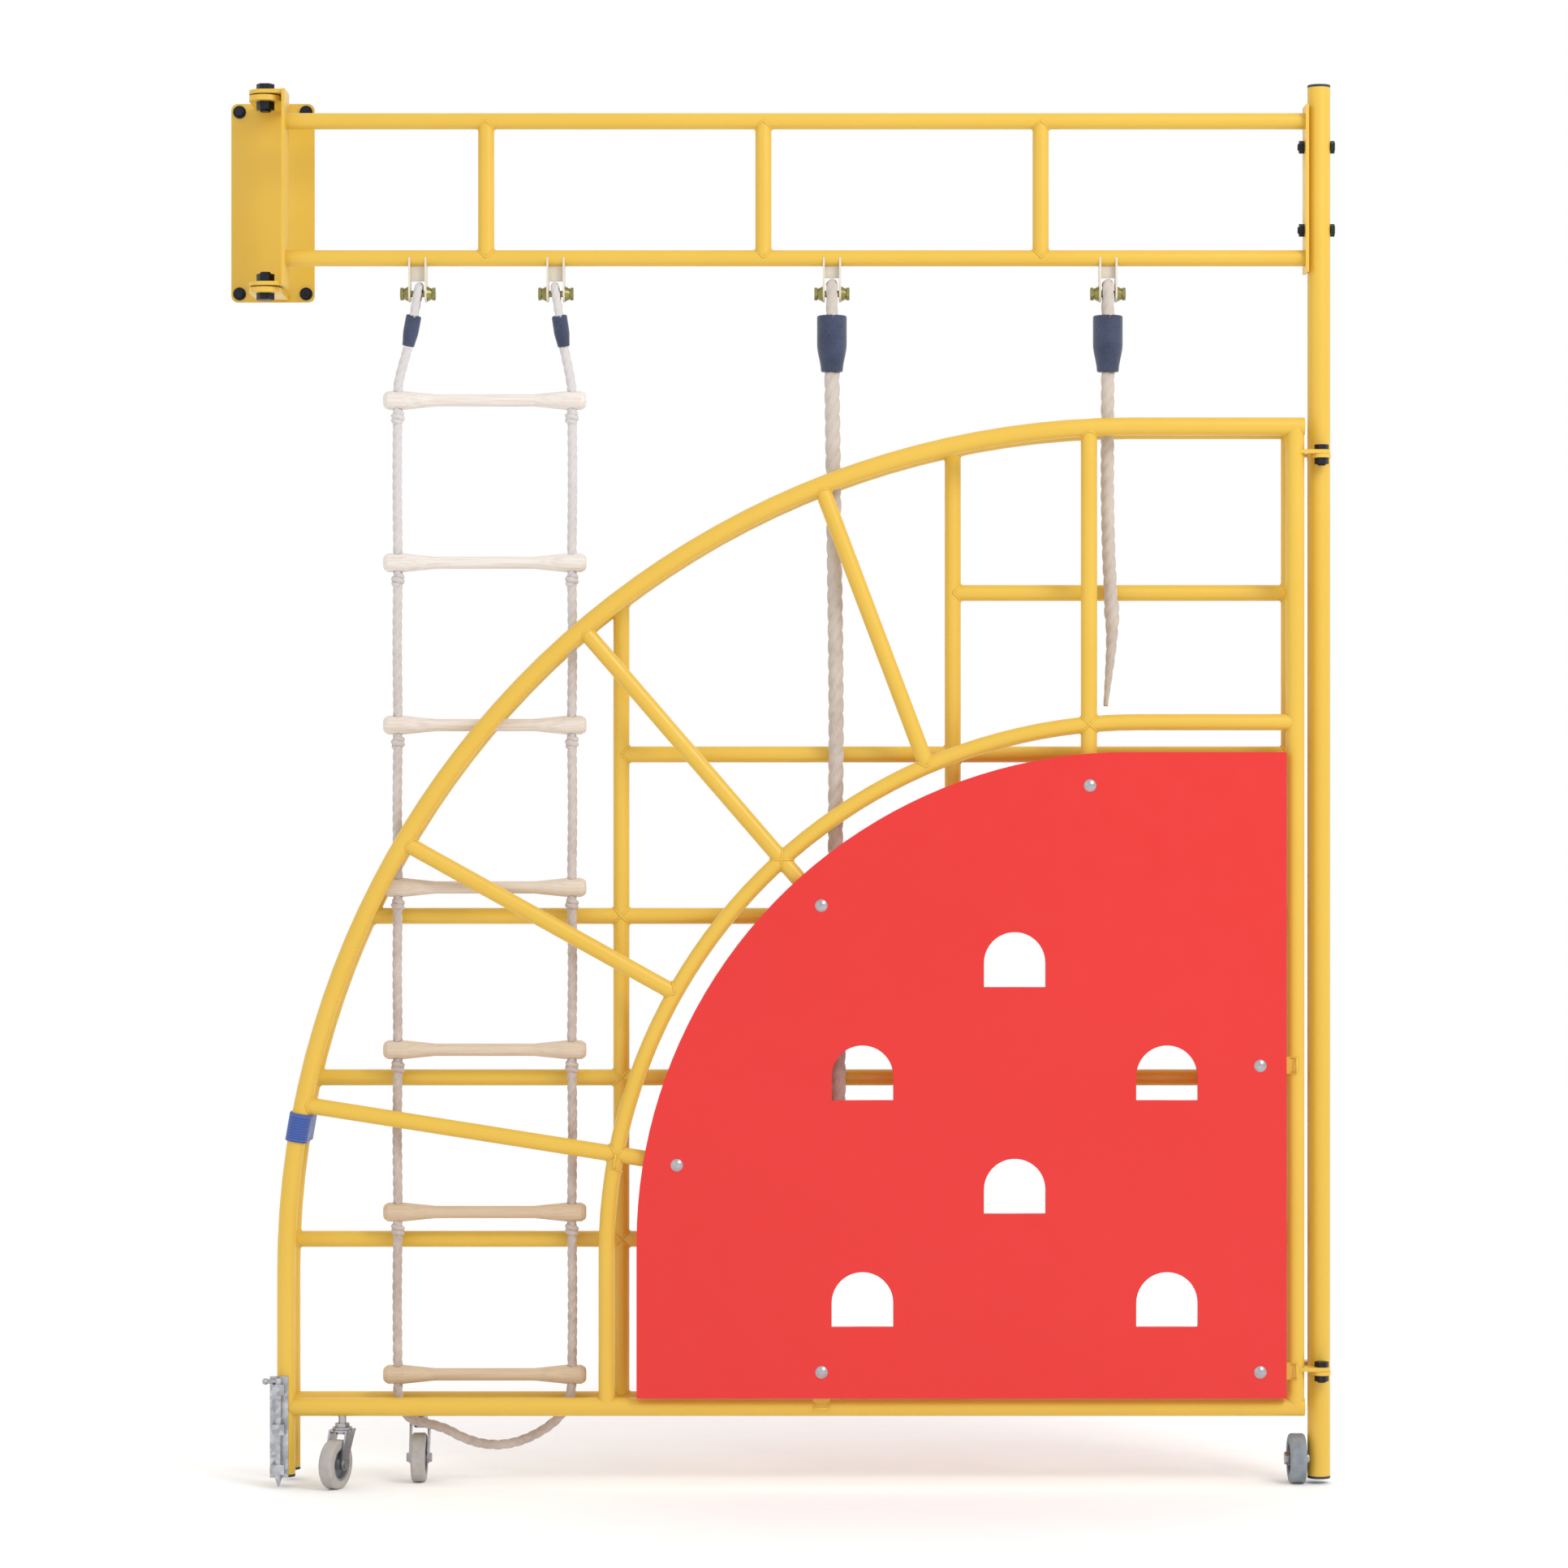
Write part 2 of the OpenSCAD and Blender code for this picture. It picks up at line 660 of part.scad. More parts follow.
module post_wheel_tyre() {
    color(tyre_grey) placed() translate([0, 0, wheel_z])
        tyre(wheel_outer_x, post_wheel_w, post_wheel_d, 0.68 * post_wheel_d + 2 * weld_gap);
}

// ---- Hangers, ladder and ropes ----

hanger_xs = concat(ladder_hanger_x, rope_hanger_x);
cone_h = 8;
cone_d = 24;
hanger_nut_h = 5;
hanger_web_t = 4;
ladder_strand_r = 6.5;
rope_strand_r = 9;

// How far an eye's top stands above its hanger bolt
function eye_top(i) = hanger_bolt_d / 2 + eye_gap + 2 * (i < 2 ? ladder_strand_r : rope_strand_r);

// Two cheeks under the rail, joined by a web above the rope's eye
module hanger_cheeks() {
    width = 26;
    color(hanger_cream) for (i = [0:3]) let (x = hanger_xs[i]) placed() difference() {
        union() {
            for (side = [-1, 1]) translate([x + side * (cheek_gap + cheek_t) / 2, 0, hanger_z]) {
                rod_x(-cheek_t / 2, cheek_t / 2, width);
                translate([-cheek_t / 2, -width / 2, 0]) cube([cheek_t, width, hanger_drop]);
            }
            translate([x - cheek_gap / 2 - eps, -hanger_web_t / 2, hanger_z + eye_top(i) + eps])
                cube([cheek_gap + 2 * eps, hanger_web_t, hanger_drop]);
        }
        translate([0, 0, rail_lo]) rod_x(x - 2 * cheek_gap, x + 2 * cheek_gap, rail_d + 2 * weld_gap);
        translate([0, 0, hanger_z]) rod_x(x - cheek_gap, x + cheek_gap, hanger_bolt_d + 2 * shaft_gap);
        translate([x - cheek_gap, -width, rail_lo]) cube([2 * cheek_gap, 2 * width, hanger_drop]);
    }
}

module hanger_bolts() {
    out = cheek_gap / 2 + cheek_t + cone_h;
    color(olive_zinc) for (x = hanger_xs) placed() translate([x, 0, hanger_z]) {
        rod_x(-out, out + hanger_nut_h, hanger_bolt_d);
        translate([-out, 0, 0]) rotate([0, -90, 0]) hexagon(0, hanger_nut_h, hanger_bolt_d);
    }
}

module hanger_nuts() {
    out = cheek_gap / 2 + cheek_t;
    bore = hanger_bolt_d + 2 * shaft_gap;
    color(light_olive) for (x = hanger_xs) placed() translate([x, 0, hanger_z]) {
        for (side = [-1, 1]) rotate([0, side * 90, 0]) translate([0, 0, out]) difference() {
            cylinder(h = cone_h, d1 = cone_d, d2 = hex_af(hanger_bolt_d) - 1);
            translate([0, 0, -eps]) cylinder(h = cone_h + 2 * eps, d = bore);
        }
        translate([out + cone_h, 0, 0]) rotate([0, 90, 0])
            hexagon(0, hanger_nut_h, hanger_bolt_d, bore);
    }
}

// A strand bent over a hanger bolt, with two legs down to the wrap
module rope_eye(strand_r, legs) {
    bend_r = hanger_bolt_d / 2 + strand_r + eye_gap;
    rotate([90, 0, 90]) rotate_extrude(angle = 180) translate([bend_r, 0]) circle(r = strand_r);
    for (side = [-1, 1]) translate([0, side * bend_r, 0]) rod_z(-legs, 0, 2 * strand_r);
}

// Puts a piece on hanger bolt i, leaning with the rope that it holds
module on_hanger(i) {
    lean = i < 2 ? -ladder_lean[i] : 0;
    placed() translate([hanger_xs[i], 0, hanger_z]) rotate([0, lean, 0]) children();
}

module rope_eyes() {
    color(rope_tan) for (i = [0:3]) on_hanger(i)
        rope_eye(i < 2 ? ladder_strand_r : rope_strand_r, wrap_from_bolt - face_gap);
}

module rope_wraps() {
    color(navy) for (i = [0:3]) on_hanger(i) {
        r = i < 2 ? ladder_wrap_r : rope_wrap_r;
        l = i < 2 ? ladder_wrap_l : rope_wrap_l;
        translate([0, 0, -wrap_from_bolt]) rotate_extrude()
            polygon([[0, 0], [r[0] - 1, 0], [r[0], -1.5], [r[0], -l / 2], [r[1], 1 - l],
                [r[1] - 1, -l], [0, -l]]);
    }
}

module ladder_rope() {
    color(rope_tan) placed() cord(ladder_route, [ladder_rope_d / 2, ladder_rope_d / 2], 2);
}

module climbing_rope() {
    color(rope_tan) placed() cord(climbing_route, [rope_1_d / 2, rope_1_d / 2], 2);
}

module tapered_rope() {
    color(rope_tan) placed() cord(tapered_route, [rope_2_d / 2, rope_2_d / 6], 3, 5);
}

// A turned rung with a drilled knob at each end
module ladder_rung() {
    half = ladder_rung_l / 2;
    knob_x = (ladder_knob_x[1] - ladder_knob_x[0]) / 2;
    neck_x = knob_x - 2 * knob_d;
    belly_r = ladder_rung_d / 2;
    difference() {
        rotate([0, 90, 0]) rotate_extrude() union() {
            translate([0, -neck_x]) square([belly_r, 2 * neck_x]);
            for (side = [-1, 1]) {
                polygon([[0, side * neck_x], [belly_r, side * neck_x],
                    [knob_d / 2, side * (knob_x - knob_d / 3)], [knob_d / 2, side * (half - knob_d / 4)],
                    [knob_d / 2 - 3, side * (half - 2)], [knob_d / 2 - 6, side * half],
                    [0, side * half]]);
            }
        }
        for (side = [-1, 1]) translate([side * knob_x, 0, 0])
            rod_z(-knob_d, knob_d, ladder_rope_d + 2 * rope_gap);
    }
}

module ladder_rungs() {
    color(wood) for (i = [0:ladder_count - 1])
        placed() translate([ladder_mid_x, 0, ladder_first + i * ladder_pitch]) ladder_rung();
}

module ladder_knots() {
    bore_r = ladder_rope_d / 2 + rope_gap / 2;
    color(rope_tan) for (i = [1:ladder_count - 1], x = ladder_knob_x) placed()
        translate([x, 0, ladder_first + i * ladder_pitch - knob_d / 2 - knot_h / 2 - face_gap])
            rotate_extrude() difference() {
                union() {
                    translate([0, -knot_h / 4]) square([knot_r, knot_h / 2]);
                    for (z = [-1, 1]) translate([knot_r - knot_h / 4, z * knot_h / 4]) circle(r = knot_h / 4);
                    translate([0, -knot_h / 2]) square([knot_r - knot_h / 4, knot_h]);
                }
                translate([-eps, -knot_h]) square([bore_r + eps, 2 * knot_h]);
            }
}

// ---- Leaf frames ----

// A leaf's outer tube, shut at the hinge end and open at the foot
module leaf_outer_tube() {
    end_t = tube_wall;
    difference() {
        bent_rod(leaf_d, arc_r, arc_cx, arc_cz, foot_z, rail_end_x);
        bent_rod(leaf_d - 2 * tube_wall, arc_r, arc_cx, arc_cz, foot_z - eps, rail_end_x - end_t);
    }
}

module leaf_hinge_tube() {
    difference() {
        translate([hinge_tube_x, 0, 0]) tube_z(bottom_z, arc_top, leaf_d, tube_wall);
        outer_cut();
        bottom_cut();
    }
}

module leaf_bottom_rail() {
    difference() {
        translate([0, 0, bottom_z]) difference() {
            rod_x(foot_x, rail_end_x, leaf_d);
            rod_x(foot_x - eps, rail_end_x - tube_wall, leaf_d - 2 * tube_wall);
        }
        outer_cut();
    }
}

module leaf_ears(z) {
    difference() {
        translate([post_x, 0, z + face_gap])
            lug(-hinge_reach, hinge_ear_w - 2, hinge_ear_t, hinge_bolt_d + 2 * shaft_gap);
        hinge_tube_cut();
        translate([hinge_tube_x - leaf_d, -leaf_d, z]) cube([leaf_d, 2 * leaf_d, 2 * hinge_ear_t]);
    }
}

module leaf_foot_plug() {
    translate([foot_x, 0, 0]) {
        rod_z(foot_z - cap_t, foot_z, leaf_d);
        rod_z(foot_z, foot_z + cap_plug, leaf_d - 2 * tube_wall - 2 * weld_gap);
    }
}

// ---- Front leaf ----

module front_outer_tube() {
    color(yellow) on_leaf(-1) leaf_outer_tube();
}

module front_inner_tube() {
    color(yellow) on_leaf(-1) difference() {
        inner_bar(inner_d);
        inner_bar(inner_d - 2 * tube_wall);
        hinge_tube_cut();
        bottom_cut();
    }
}

module front_hinge_tube() {
    color(yellow) on_leaf(-1) leaf_hinge_tube();
}

module front_bottom_rail() {
    color(yellow) on_leaf(-1) leaf_bottom_rail();
}

// A tube on the line through the spokes' hub with slope a, from t0 to t1
module spoke_tube(a, t0, t1) {
    translate([spoke_hub[0], 0, spoke_hub[1]]) rotate([0, a - 90, 0])
        tube_z(t0, t1, inner_d, tube_wall);
}

module front_spokes() {
    color(yellow) on_leaf(-1) {
        for (a = spoke_slopes) difference() {
            spoke_tube(a, spoke_hit(a, [inner_cx, inner_cz], inner_r),
                spoke_hit(a, [arc_cx, arc_cz], arc_r));
            inner_cut();
            outer_cut();
        }
        difference() {
            translate([top_spoke_x, 0, 0]) tube_z(inner_top - inner_d, arc_top, inner_d, tube_wall);
            inner_cut();
            outer_cut();
            translate([top_spoke_x - leaf_d, -leaf_d, 0]) cube([2 * leaf_d, 2 * leaf_d, inner_top]);
        }
    }
}

stub_end = 15;
tab_t = 4;
top_bolt_lift = 23;
top_bolt_z = spoke_hub[1] + panel_bolt_r + top_bolt_lift;
side_bolt_x = panel_right - panel_bolt_inset;
low_bolt_z = panel_bottom + panel_bolt_inset;

// Where the panel's bolts stand, as X and Z: three on stubs, then three on tabs
stub_bolts = concat([for (a = stub_slopes) spoke_hub + panel_bolt_r * spoke_dir(a)],
    [[top_spoke_x, top_bolt_z]]);
tab_bolts = [[side_bolt_x, side_bolt_z], [side_bolt_x, low_bolt_z], [low_bolt_x, low_bolt_z]];

// A flat tab behind the panel from its bolt hole to the tube that carries it
module tab(p, dx, dz) {
    width = 26;
    translate([p[0], -inner_d / 2, p[1]]) {
        rod_y(0, tab_t, width);
        if (dx > 0) translate([0, 0, -width / 2]) cube([dx, tab_t, width]);
        if (dz > 0) translate([-width / 2, 0, -dz]) cube([width, tab_t, dz]);
    }
}

module panel_stubs() {
    side_run = hinge_tube_x - side_bolt_x;
    low_run = low_bolt_z - bottom_z;
    color(yellow) on_leaf(-1) difference() {
        union() {
            for (a = stub_slopes) spoke_tube(a, panel_bolt_r - stub_end,
                spoke_hit(a, [inner_cx, inner_cz], inner_r));
            translate([top_spoke_x, 0, 0]) tube_z(top_bolt_z - stub_end, inner_top, inner_d, tube_wall);
            for (p = [tab_bolts[0], tab_bolts[1]]) tab(p, side_run, 0);
            tab(tab_bolts[2], 0, low_run);
        }
        inner_cut();
        hinge_tube_cut();
        bottom_cut();
        for (p = concat(stub_bolts, tab_bolts)) translate([p[0], 0, p[1]])
            rod_y(-leaf_d, 0, panel_bolt_d + 2 * shaft_gap);
    }
}

module foothold(i, j) {
    arch_r = hold_w / 2;
    translate([hold_x + i * hold_pitch_x, 0, hold_z + j * hold_pitch_z]) {
        translate([-arch_r, -panel_t, 0]) cube([hold_w, 3 * panel_t, hold_h - arch_r]);
        intersection() {
            translate([0, 0, hold_h - arch_r]) rod_y(-panel_t, 2 * panel_t, hold_w);
            translate([-arch_r, -2 * panel_t, 0]) cube([hold_w, 5 * panel_t, hold_h]);
        }
    }
}

module climbing_panel() {
    front = -panel_back - panel_t;
    color(red) placed() translate([0, front, 0]) difference() {
        union() {
            intersection() {
                translate([panel_cx, 0, panel_cz]) rotate([-90, 0, 0])
                    cylinder(h = panel_t, r = panel_r, $fn = 180);
                translate([panel_cx - panel_r, 0, panel_cz]) cube([panel_r, panel_t, panel_r]);
            }
            translate([panel_cx - panel_r, 0, panel_bottom])
                cube([panel_right - panel_cx + panel_r, panel_t, panel_cz - panel_bottom]);
            translate([panel_cx, 0, panel_cz]) cube([panel_right - panel_cx, panel_t, panel_r]);
        }
        for (j = [0:3], i = j % 2 == 0 ? [0, 2] : [1]) foothold(i, j);
        for (p = concat(stub_bolts, tab_bolts)) translate([p[0], 0, p[1]])
            rod_y(-panel_t, 2 * panel_t, panel_bolt_d + 2 * shaft_gap);
    }
}

module panel_bolts() {
    head_r = 9.5;
    head_h = 4;
    grip = 8;
    ball_r = (head_r * head_r + head_h * head_h) / (2 * head_h);
    front = -panel_back - panel_t;
    color(zinc) {
        for (p = concat(stub_bolts, tab_bolts)) placed() translate([p[0], front, p[1]]) {
            rod_y(0, panel_t + grip, panel_bolt_d);
            intersection() {
                translate([0, ball_r - head_h, 0]) sphere(r = ball_r);
                rod_y(-head_h - eps, 0, 2 * head_r);
            }
        }
        for (p = tab_bolts) placed() translate([p[0], tab_t - panel_back, p[1]]) rotate([-90, 0, 0])
            hexagon(0, 6.5, panel_bolt_d, panel_bolt_d + 2 * shaft_gap);
    }
}

module front_ears() {
    color(yellow) for (z = hinge_z) on_leaf(-1) leaf_ears(z);
}

module front_foot_plug() {
    color(dark) on_leaf(-1) leaf_foot_plug();
}

// The strap is sewn round the front leaf's tube, and its two ends reach back past the back leaf's
module tie_strap() {
    slope = asin((strap_z - arc_cz) / arc_r);
    ring_r = leaf_d / 2 + rope_gap;
    tail = 2 * leaf_off + leaf_d / 3;
    color(strap_blue) on_leaf(-1) translate([arc_x(strap_z), 0, strap_z]) rotate([0, slope, 0])
        translate([0, 0, -strap_w / 2]) difference() {
            union() {
                cylinder(h = strap_w, r = ring_r + strap_t);
                translate([-ring_r - strap_t, 0, 0]) cube([2 * (ring_r + strap_t), tail, strap_w]);
            }
            translate([0, 0, -eps]) cylinder(h = strap_w + 2 * eps, r = ring_r);
            translate([-ring_r, ring_r + strap_t, -eps])
                cube([2 * ring_r, tail, strap_w + 2 * eps]);
        }
}

// ---- Floor bolt ----

bolt_plate_t = 3;
keeper_depth = 13;
bolt_axis_y = -leaf_d / 2 - weld_gap - bolt_plate_t - keeper_depth / 2;
keeper_h = 16;
keeper_w = 18;
bolt_plate_w = 28;
bolt_plate_h = 155;
keeper_levels = [30, 91, 152];

module floor_bolt_body() {
    plate_left = foot_x - rod_shift - bolt_plate_w / 2;
    color(zinc) on_leaf(-1) difference() {
        union() {
            translate([plate_left, -leaf_d / 2 - weld_gap - bolt_plate_t, foot_z - 4])
                cube([bolt_plate_w, bolt_plate_t, bolt_plate_h]);
            for (z = keeper_levels) translate([foot_x - rod_shift - keeper_w / 2,
                bolt_axis_y - keeper_depth / 2, z - keeper_h / 2])
                cube([keeper_w, keeper_depth, keeper_h]);
        }
        translate([foot_x - rod_shift, bolt_axis_y, 0]) rod_z(0, rod_tip + rod_len, rod_d + 2 * shaft_gap);
    }
}

module floor_bolt_rod() {
    tip_h = 12;
    knob_len = 20;
    knob_drop = 5;
    color(bolt_grey) on_leaf(-1) translate([foot_x - rod_shift, bolt_axis_y, rod_tip]) {
        cylinder(h = tip_h, d1 = 2, d2 = rod_d);
        rod_z(tip_h, rod_len, rod_d);
        translate([0, 0, rod_len - knob_drop]) rod_x(-knob_len, 0, 0.7 * rod_d);
        translate([-knob_len, 0, rod_len - knob_drop]) rotate([0, 90, 0]) sphere(d = rod_d);
    }
}

// ---- Castors ----

fork_top = castor_d + 13;
fork_t = 3;
fork_gap = castor_w / 2 + 1.5;
castor_axle_d = 8;
race_d = 30;

// Puts a castor's piece under a leaf's bottom rail, turned to its yaw
module castor_at(side, x, yaw) {
    on_leaf(side) translate([x, 0, 0]) rotate([0, 0, yaw]) children();
}

module castor_stem(side, x) {
    nut_top = fork_top + face_gap + 9;
    color(zinc) on_leaf(side) difference() {
        translate([x, 0, 0]) {
            rod_z(fork_top - fork_t - 4, bottom_z, stem_d);
            rod_z(fork_top - fork_t - 4, fork_top - fork_t - face_gap, stem_d + 8);
            rod_z(fork_top + face_gap, fork_top + face_gap + 3, race_d);
            hexagon(fork_top + face_gap + 3, 6, stem_d);
        }
        bottom_cut();
    }
}

// A pressed fork: a crown plate and two tapering cheeks
module castor_fork(side, x, yaw) {
    out = fork_gap + fork_t;
    boss_r = 9;
    color(zinc) castor_at(side, x, yaw) difference() {
        union() {
            translate([0, 0, fork_top - fork_t]) rod_z(0, fork_t, race_d + 4);
            translate([-race_d / 2, -out, fork_top - fork_t]) cube([race_d, 2 * out, fork_t]);
            for (s = [-1, 1]) translate([0, s * (fork_gap + fork_t / 2) + fork_t / 2, 0]) rotate([90, 0, 0])
                linear_extrude(height = fork_t) union() {
                    polygon([[-race_d / 2, fork_top], [race_d / 2, fork_top],
                        [castor_trail + boss_r, castor_d / 2 + 2], [castor_trail - boss_r, castor_d / 2]]);
                    translate([castor_trail, castor_d / 2]) circle(r = boss_r);
                }
        }
        rod_z(0, fork_top + eps, stem_d + 2 * shaft_gap);
        translate([castor_trail, 0, castor_d / 2]) rod_y(-2 * out, 2 * out, castor_axle_d + 2 * shaft_gap);
    }
}

module castor_axle(side, x, yaw) {
    out = fork_gap + fork_t;
    color(zinc) castor_at(side, x, yaw) translate([castor_trail, 0, castor_d / 2]) {
        rod_y(-out, out, castor_axle_d);
        for (s = [-1, 1]) translate([0, s * out, 0]) rotate([-s * 90, 0, 0])
            hexagon(0, 4, castor_axle_d);
    }
}

module castor_wheel(side, x, yaw) {
    color(zinc) castor_at(side, x, yaw) translate([castor_trail, 0, castor_d / 2]) rotate([0, 0, 90])
        wheel_hub(-castor_w / 2, castor_w, 0.66 * castor_d, castor_axle_d + 2 * shaft_gap);
}

module castor_tyre(side, x, yaw) {
    color(tyre_grey) castor_at(side, x, yaw) translate([castor_trail, 0, castor_d / 2])
        rotate([0, 0, 90]) tyre(-castor_w / 2, castor_w, castor_d, 0.66 * castor_d + 2 * weld_gap);
}

// ---- Back leaf ----

module back_outer_tube() {
    color(yellow) on_leaf(1) leaf_outer_tube();
}

module back_hinge_tube() {
    color(yellow) on_leaf(1) leaf_hinge_tube();
}

module back_bottom_rail() {
    color(yellow) on_leaf(1) leaf_bottom_rail();
}

module back_uprights() {
    color(yellow) on_leaf(1) for (x = upright_x) difference() {
        translate([x, 0, 0]) tube_z(bottom_z, arc_top, inner_d, tube_wall);
        outer_cut();
        bottom_cut();
        translate([x, 0, arc_cz + sqrt(arc_r * arc_r - pow(arc_cx - x, 2))])
            rod_z(-leaf_d / 8, arc_top, 2 * leaf_d);
    }
}

// Each rung runs from its first post to the hinge tube, cut where it meets an upright
module back_rungs() {
    stops = [for (i = [0:4]) let (z = rung_first + i * rung_pitch)
        concat(i < 3 ? [arc_x(z)] : [], i < 4 ? [upright_x[0]] : [], [upright_x[1], hinge_tube_x])];
    color(yellow) on_leaf(1) difference() {
        for (i = [0:4], k = [0:len(stops[i]) - 2]) translate([0, 0, rung_first + i * rung_pitch])
            tube_x(stops[i][k], stops[i][k + 1] - eps / 4, inner_d, tube_wall);
        outer_cut();
        hinge_tube_cut();
        for (x = upright_x) translate([x, 0, 0]) rod_z(bottom_z, arc_top, inner_d + 2 * weld_gap);
    }
}

module back_ears() {
    color(yellow) for (z = hinge_z) on_leaf(1) leaf_ears(z);
}

module back_foot_plug() {
    color(dark) on_leaf(1) leaf_foot_plug();
}

wall_plate();
pivot_ears();
anchor_bolts();
pivot_bolts();
pivot_nuts();
thrust_washers();
pivot_plate();
pivot_lugs();
beam_rails();
beam_struts();
post_plate();
beam_bolts();
post();
post_caps();
post_ears();
hinge_bolts();
hinge_nuts();
hanger_cheeks();
hanger_bolts();
hanger_nuts();
wheel_axle();
post_wheel_hub();
post_wheel_tyre();
ladder_rope();
ladder_rungs();
ladder_knots();
rope_eyes();
rope_wraps();
climbing_rope();
tapered_rope();
front_outer_tube();
front_inner_tube();
front_hinge_tube();
front_bottom_rail();
front_spokes();
panel_stubs();
climbing_panel();
panel_bolts();
front_ears();
front_foot_plug();
tie_strap();
floor_bolt_body();
floor_bolt_rod();
castor_stem(-1, castor_a_x);  // castor_a_stem
castor_fork(-1, castor_a_x, castor_a_yaw);  // castor_a_fork
castor_axle(-1, castor_a_x, castor_a_yaw);  // castor_a_axle
castor_wheel(-1, castor_a_x, castor_a_yaw);  // castor_a_wheel
castor_tyre(-1, castor_a_x, castor_a_yaw);  // castor_a_tyre
back_outer_tube();
back_hinge_tube();
back_bottom_rail();
back_uprights();
back_rungs();
back_ears();
back_foot_plug();
castor_stem(1, castor_b_x);  // castor_b_stem
castor_fork(1, castor_b_x, castor_b_yaw);  // castor_b_fork
castor_axle(1, castor_b_x, castor_b_yaw);  // castor_b_axle
castor_wheel(1, castor_b_x, castor_b_yaw);  // castor_b_wheel
castor_tyre(1, castor_b_x, castor_b_yaw);  // castor_b_tyre
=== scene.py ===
"""Looks of a wall-hung folding climbing frame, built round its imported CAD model.

The CAD nodes keep their shapes and get the finish of the real metal, wood, plastic or rubber.
The soft parts, which are the ladder's rope, the two climbing ropes, their eyes, bound wraps and
knots, and the tie strap, are built here in place of their plain CAD solids. Weld beads are added
where tube meets tube. Everything is in metres, in the CAD model's own frame.
"""

import json
import logging
import math
from dataclasses import dataclass
from enum import Enum
from typing import Any

import bpy
import numpy as np
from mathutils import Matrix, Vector

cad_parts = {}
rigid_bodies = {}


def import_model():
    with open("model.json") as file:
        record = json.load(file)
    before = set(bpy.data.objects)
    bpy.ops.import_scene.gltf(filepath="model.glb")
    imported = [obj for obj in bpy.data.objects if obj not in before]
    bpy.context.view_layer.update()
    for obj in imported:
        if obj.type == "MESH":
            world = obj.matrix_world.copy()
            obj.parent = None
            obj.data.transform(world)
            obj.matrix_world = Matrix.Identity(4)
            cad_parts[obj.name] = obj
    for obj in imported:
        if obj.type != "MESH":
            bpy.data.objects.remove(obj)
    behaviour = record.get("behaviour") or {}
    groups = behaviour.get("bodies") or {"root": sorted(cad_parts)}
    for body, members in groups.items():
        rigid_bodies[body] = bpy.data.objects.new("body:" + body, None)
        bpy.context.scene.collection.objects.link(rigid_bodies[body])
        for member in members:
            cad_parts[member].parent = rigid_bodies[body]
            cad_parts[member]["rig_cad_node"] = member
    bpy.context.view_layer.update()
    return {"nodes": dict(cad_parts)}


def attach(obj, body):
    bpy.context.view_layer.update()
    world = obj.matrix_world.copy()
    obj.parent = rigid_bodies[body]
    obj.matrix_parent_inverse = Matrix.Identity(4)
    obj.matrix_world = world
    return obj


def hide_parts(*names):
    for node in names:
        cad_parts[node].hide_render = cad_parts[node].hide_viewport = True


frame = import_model()

logging.basicConfig(level=logging.INFO, format="%(message)s")
LOG = logging.getLogger("climbing_frame")

MM = 0.001
WALL_TO_BEAM = 100 * MM
MOUNT_HEIGHT = 1984 * MM

Colour = tuple[float, float, float, float]
Pair = tuple[float, float]
Point = tuple[float, float, float]
Line = np.ndarray
Node = bpy.types.Node
Socket = bpy.types.NodeSocket
Tree = bpy.types.NodeTree


def from_beam(points: list[Point]) -> Line:
    """Turns points given from the beam's pivot and the floor into the model's frame.

    Args:
        points: distance along the beam, distance towards the wall and height, in millimetres.

    Returns:
        The same points in metres, from the middle of the wall plate's back face.
    """
    return np.array(points, float) * MM - np.array([0.0, WALL_TO_BEAM, MOUNT_HEIGHT])


def linear(code: str) -> Colour:
    """Turns an sRGB hex colour into Blender's linear colour.

    Args:
        code: a # and six hex digits.

    Returns:
        Linear red, green and blue, and an alpha of 1.
    """
    parts = [int(code[i : i + 2], 16) / 255 for i in (1, 3, 5)]
    red, green, blue = (c / 12.92 if c <= 0.04045 else ((c + 0.055) / 1.055) ** 2.4 for c in parts)
    return red, green, blue, 1.0


def add_node(tree: Tree, kind: str, inputs: dict[str | int, Any] | None = None, **settings: Any) -> Node:
    """Adds one node with its settings, and sets or links its inputs.

    Args:
        tree: the node tree that it joins.
        kind: the node's Blender type name.
        inputs: an output socket to link, or a value to set, for each input's name or number.
        settings: the node's own properties.

    Returns:
        The new node.
    """
    node = tree.nodes.new(kind)
    for name, value in settings.items():
        setattr(node, name, value)
    for key, value in (inputs or {}).items():
        if isinstance(value, Socket):
            tree.links.new(value, node.inputs[key])
        else:
            node.inputs[key].default_value = value
    return node


# ---- Finishes ----


def surface(tree: Tree) -> Socket:
    """Returns each point's place on the object, in metres."""
    return add_node(tree, "ShaderNodeTexCoord").outputs["Object"]


def noise(tree: Tree, place: Socket, scale: float, detail: float) -> Socket:
    """Adds a noise texture, and returns its value."""
    inputs = {"Vector": place, "Scale": scale, "Detail": detail}
    return add_node(tree, "ShaderNodeTexNoise", inputs).outputs["Fac"]


def stretch(tree: Tree, place: Socket, scale: Point) -> Socket:
    """Returns places scaled by a factor for each axis."""
    return add_node(tree, "ShaderNodeMapping", {"Vector": place, "Scale": scale}).outputs[0]


def remap(tree: Tree, value: Socket, old: Pair = (0.0, 1.0), new: Pair = (0.0, 1.0)) -> Socket:
    """Returns a value moved from an old range to a new one, and held within it."""
    inputs = {"Value": value, "From Min": old[0], "From Max": old[1], "To Min": new[0], "To Max": new[1]}
    return add_node(tree, "ShaderNodeMapRange", inputs).outputs[0]


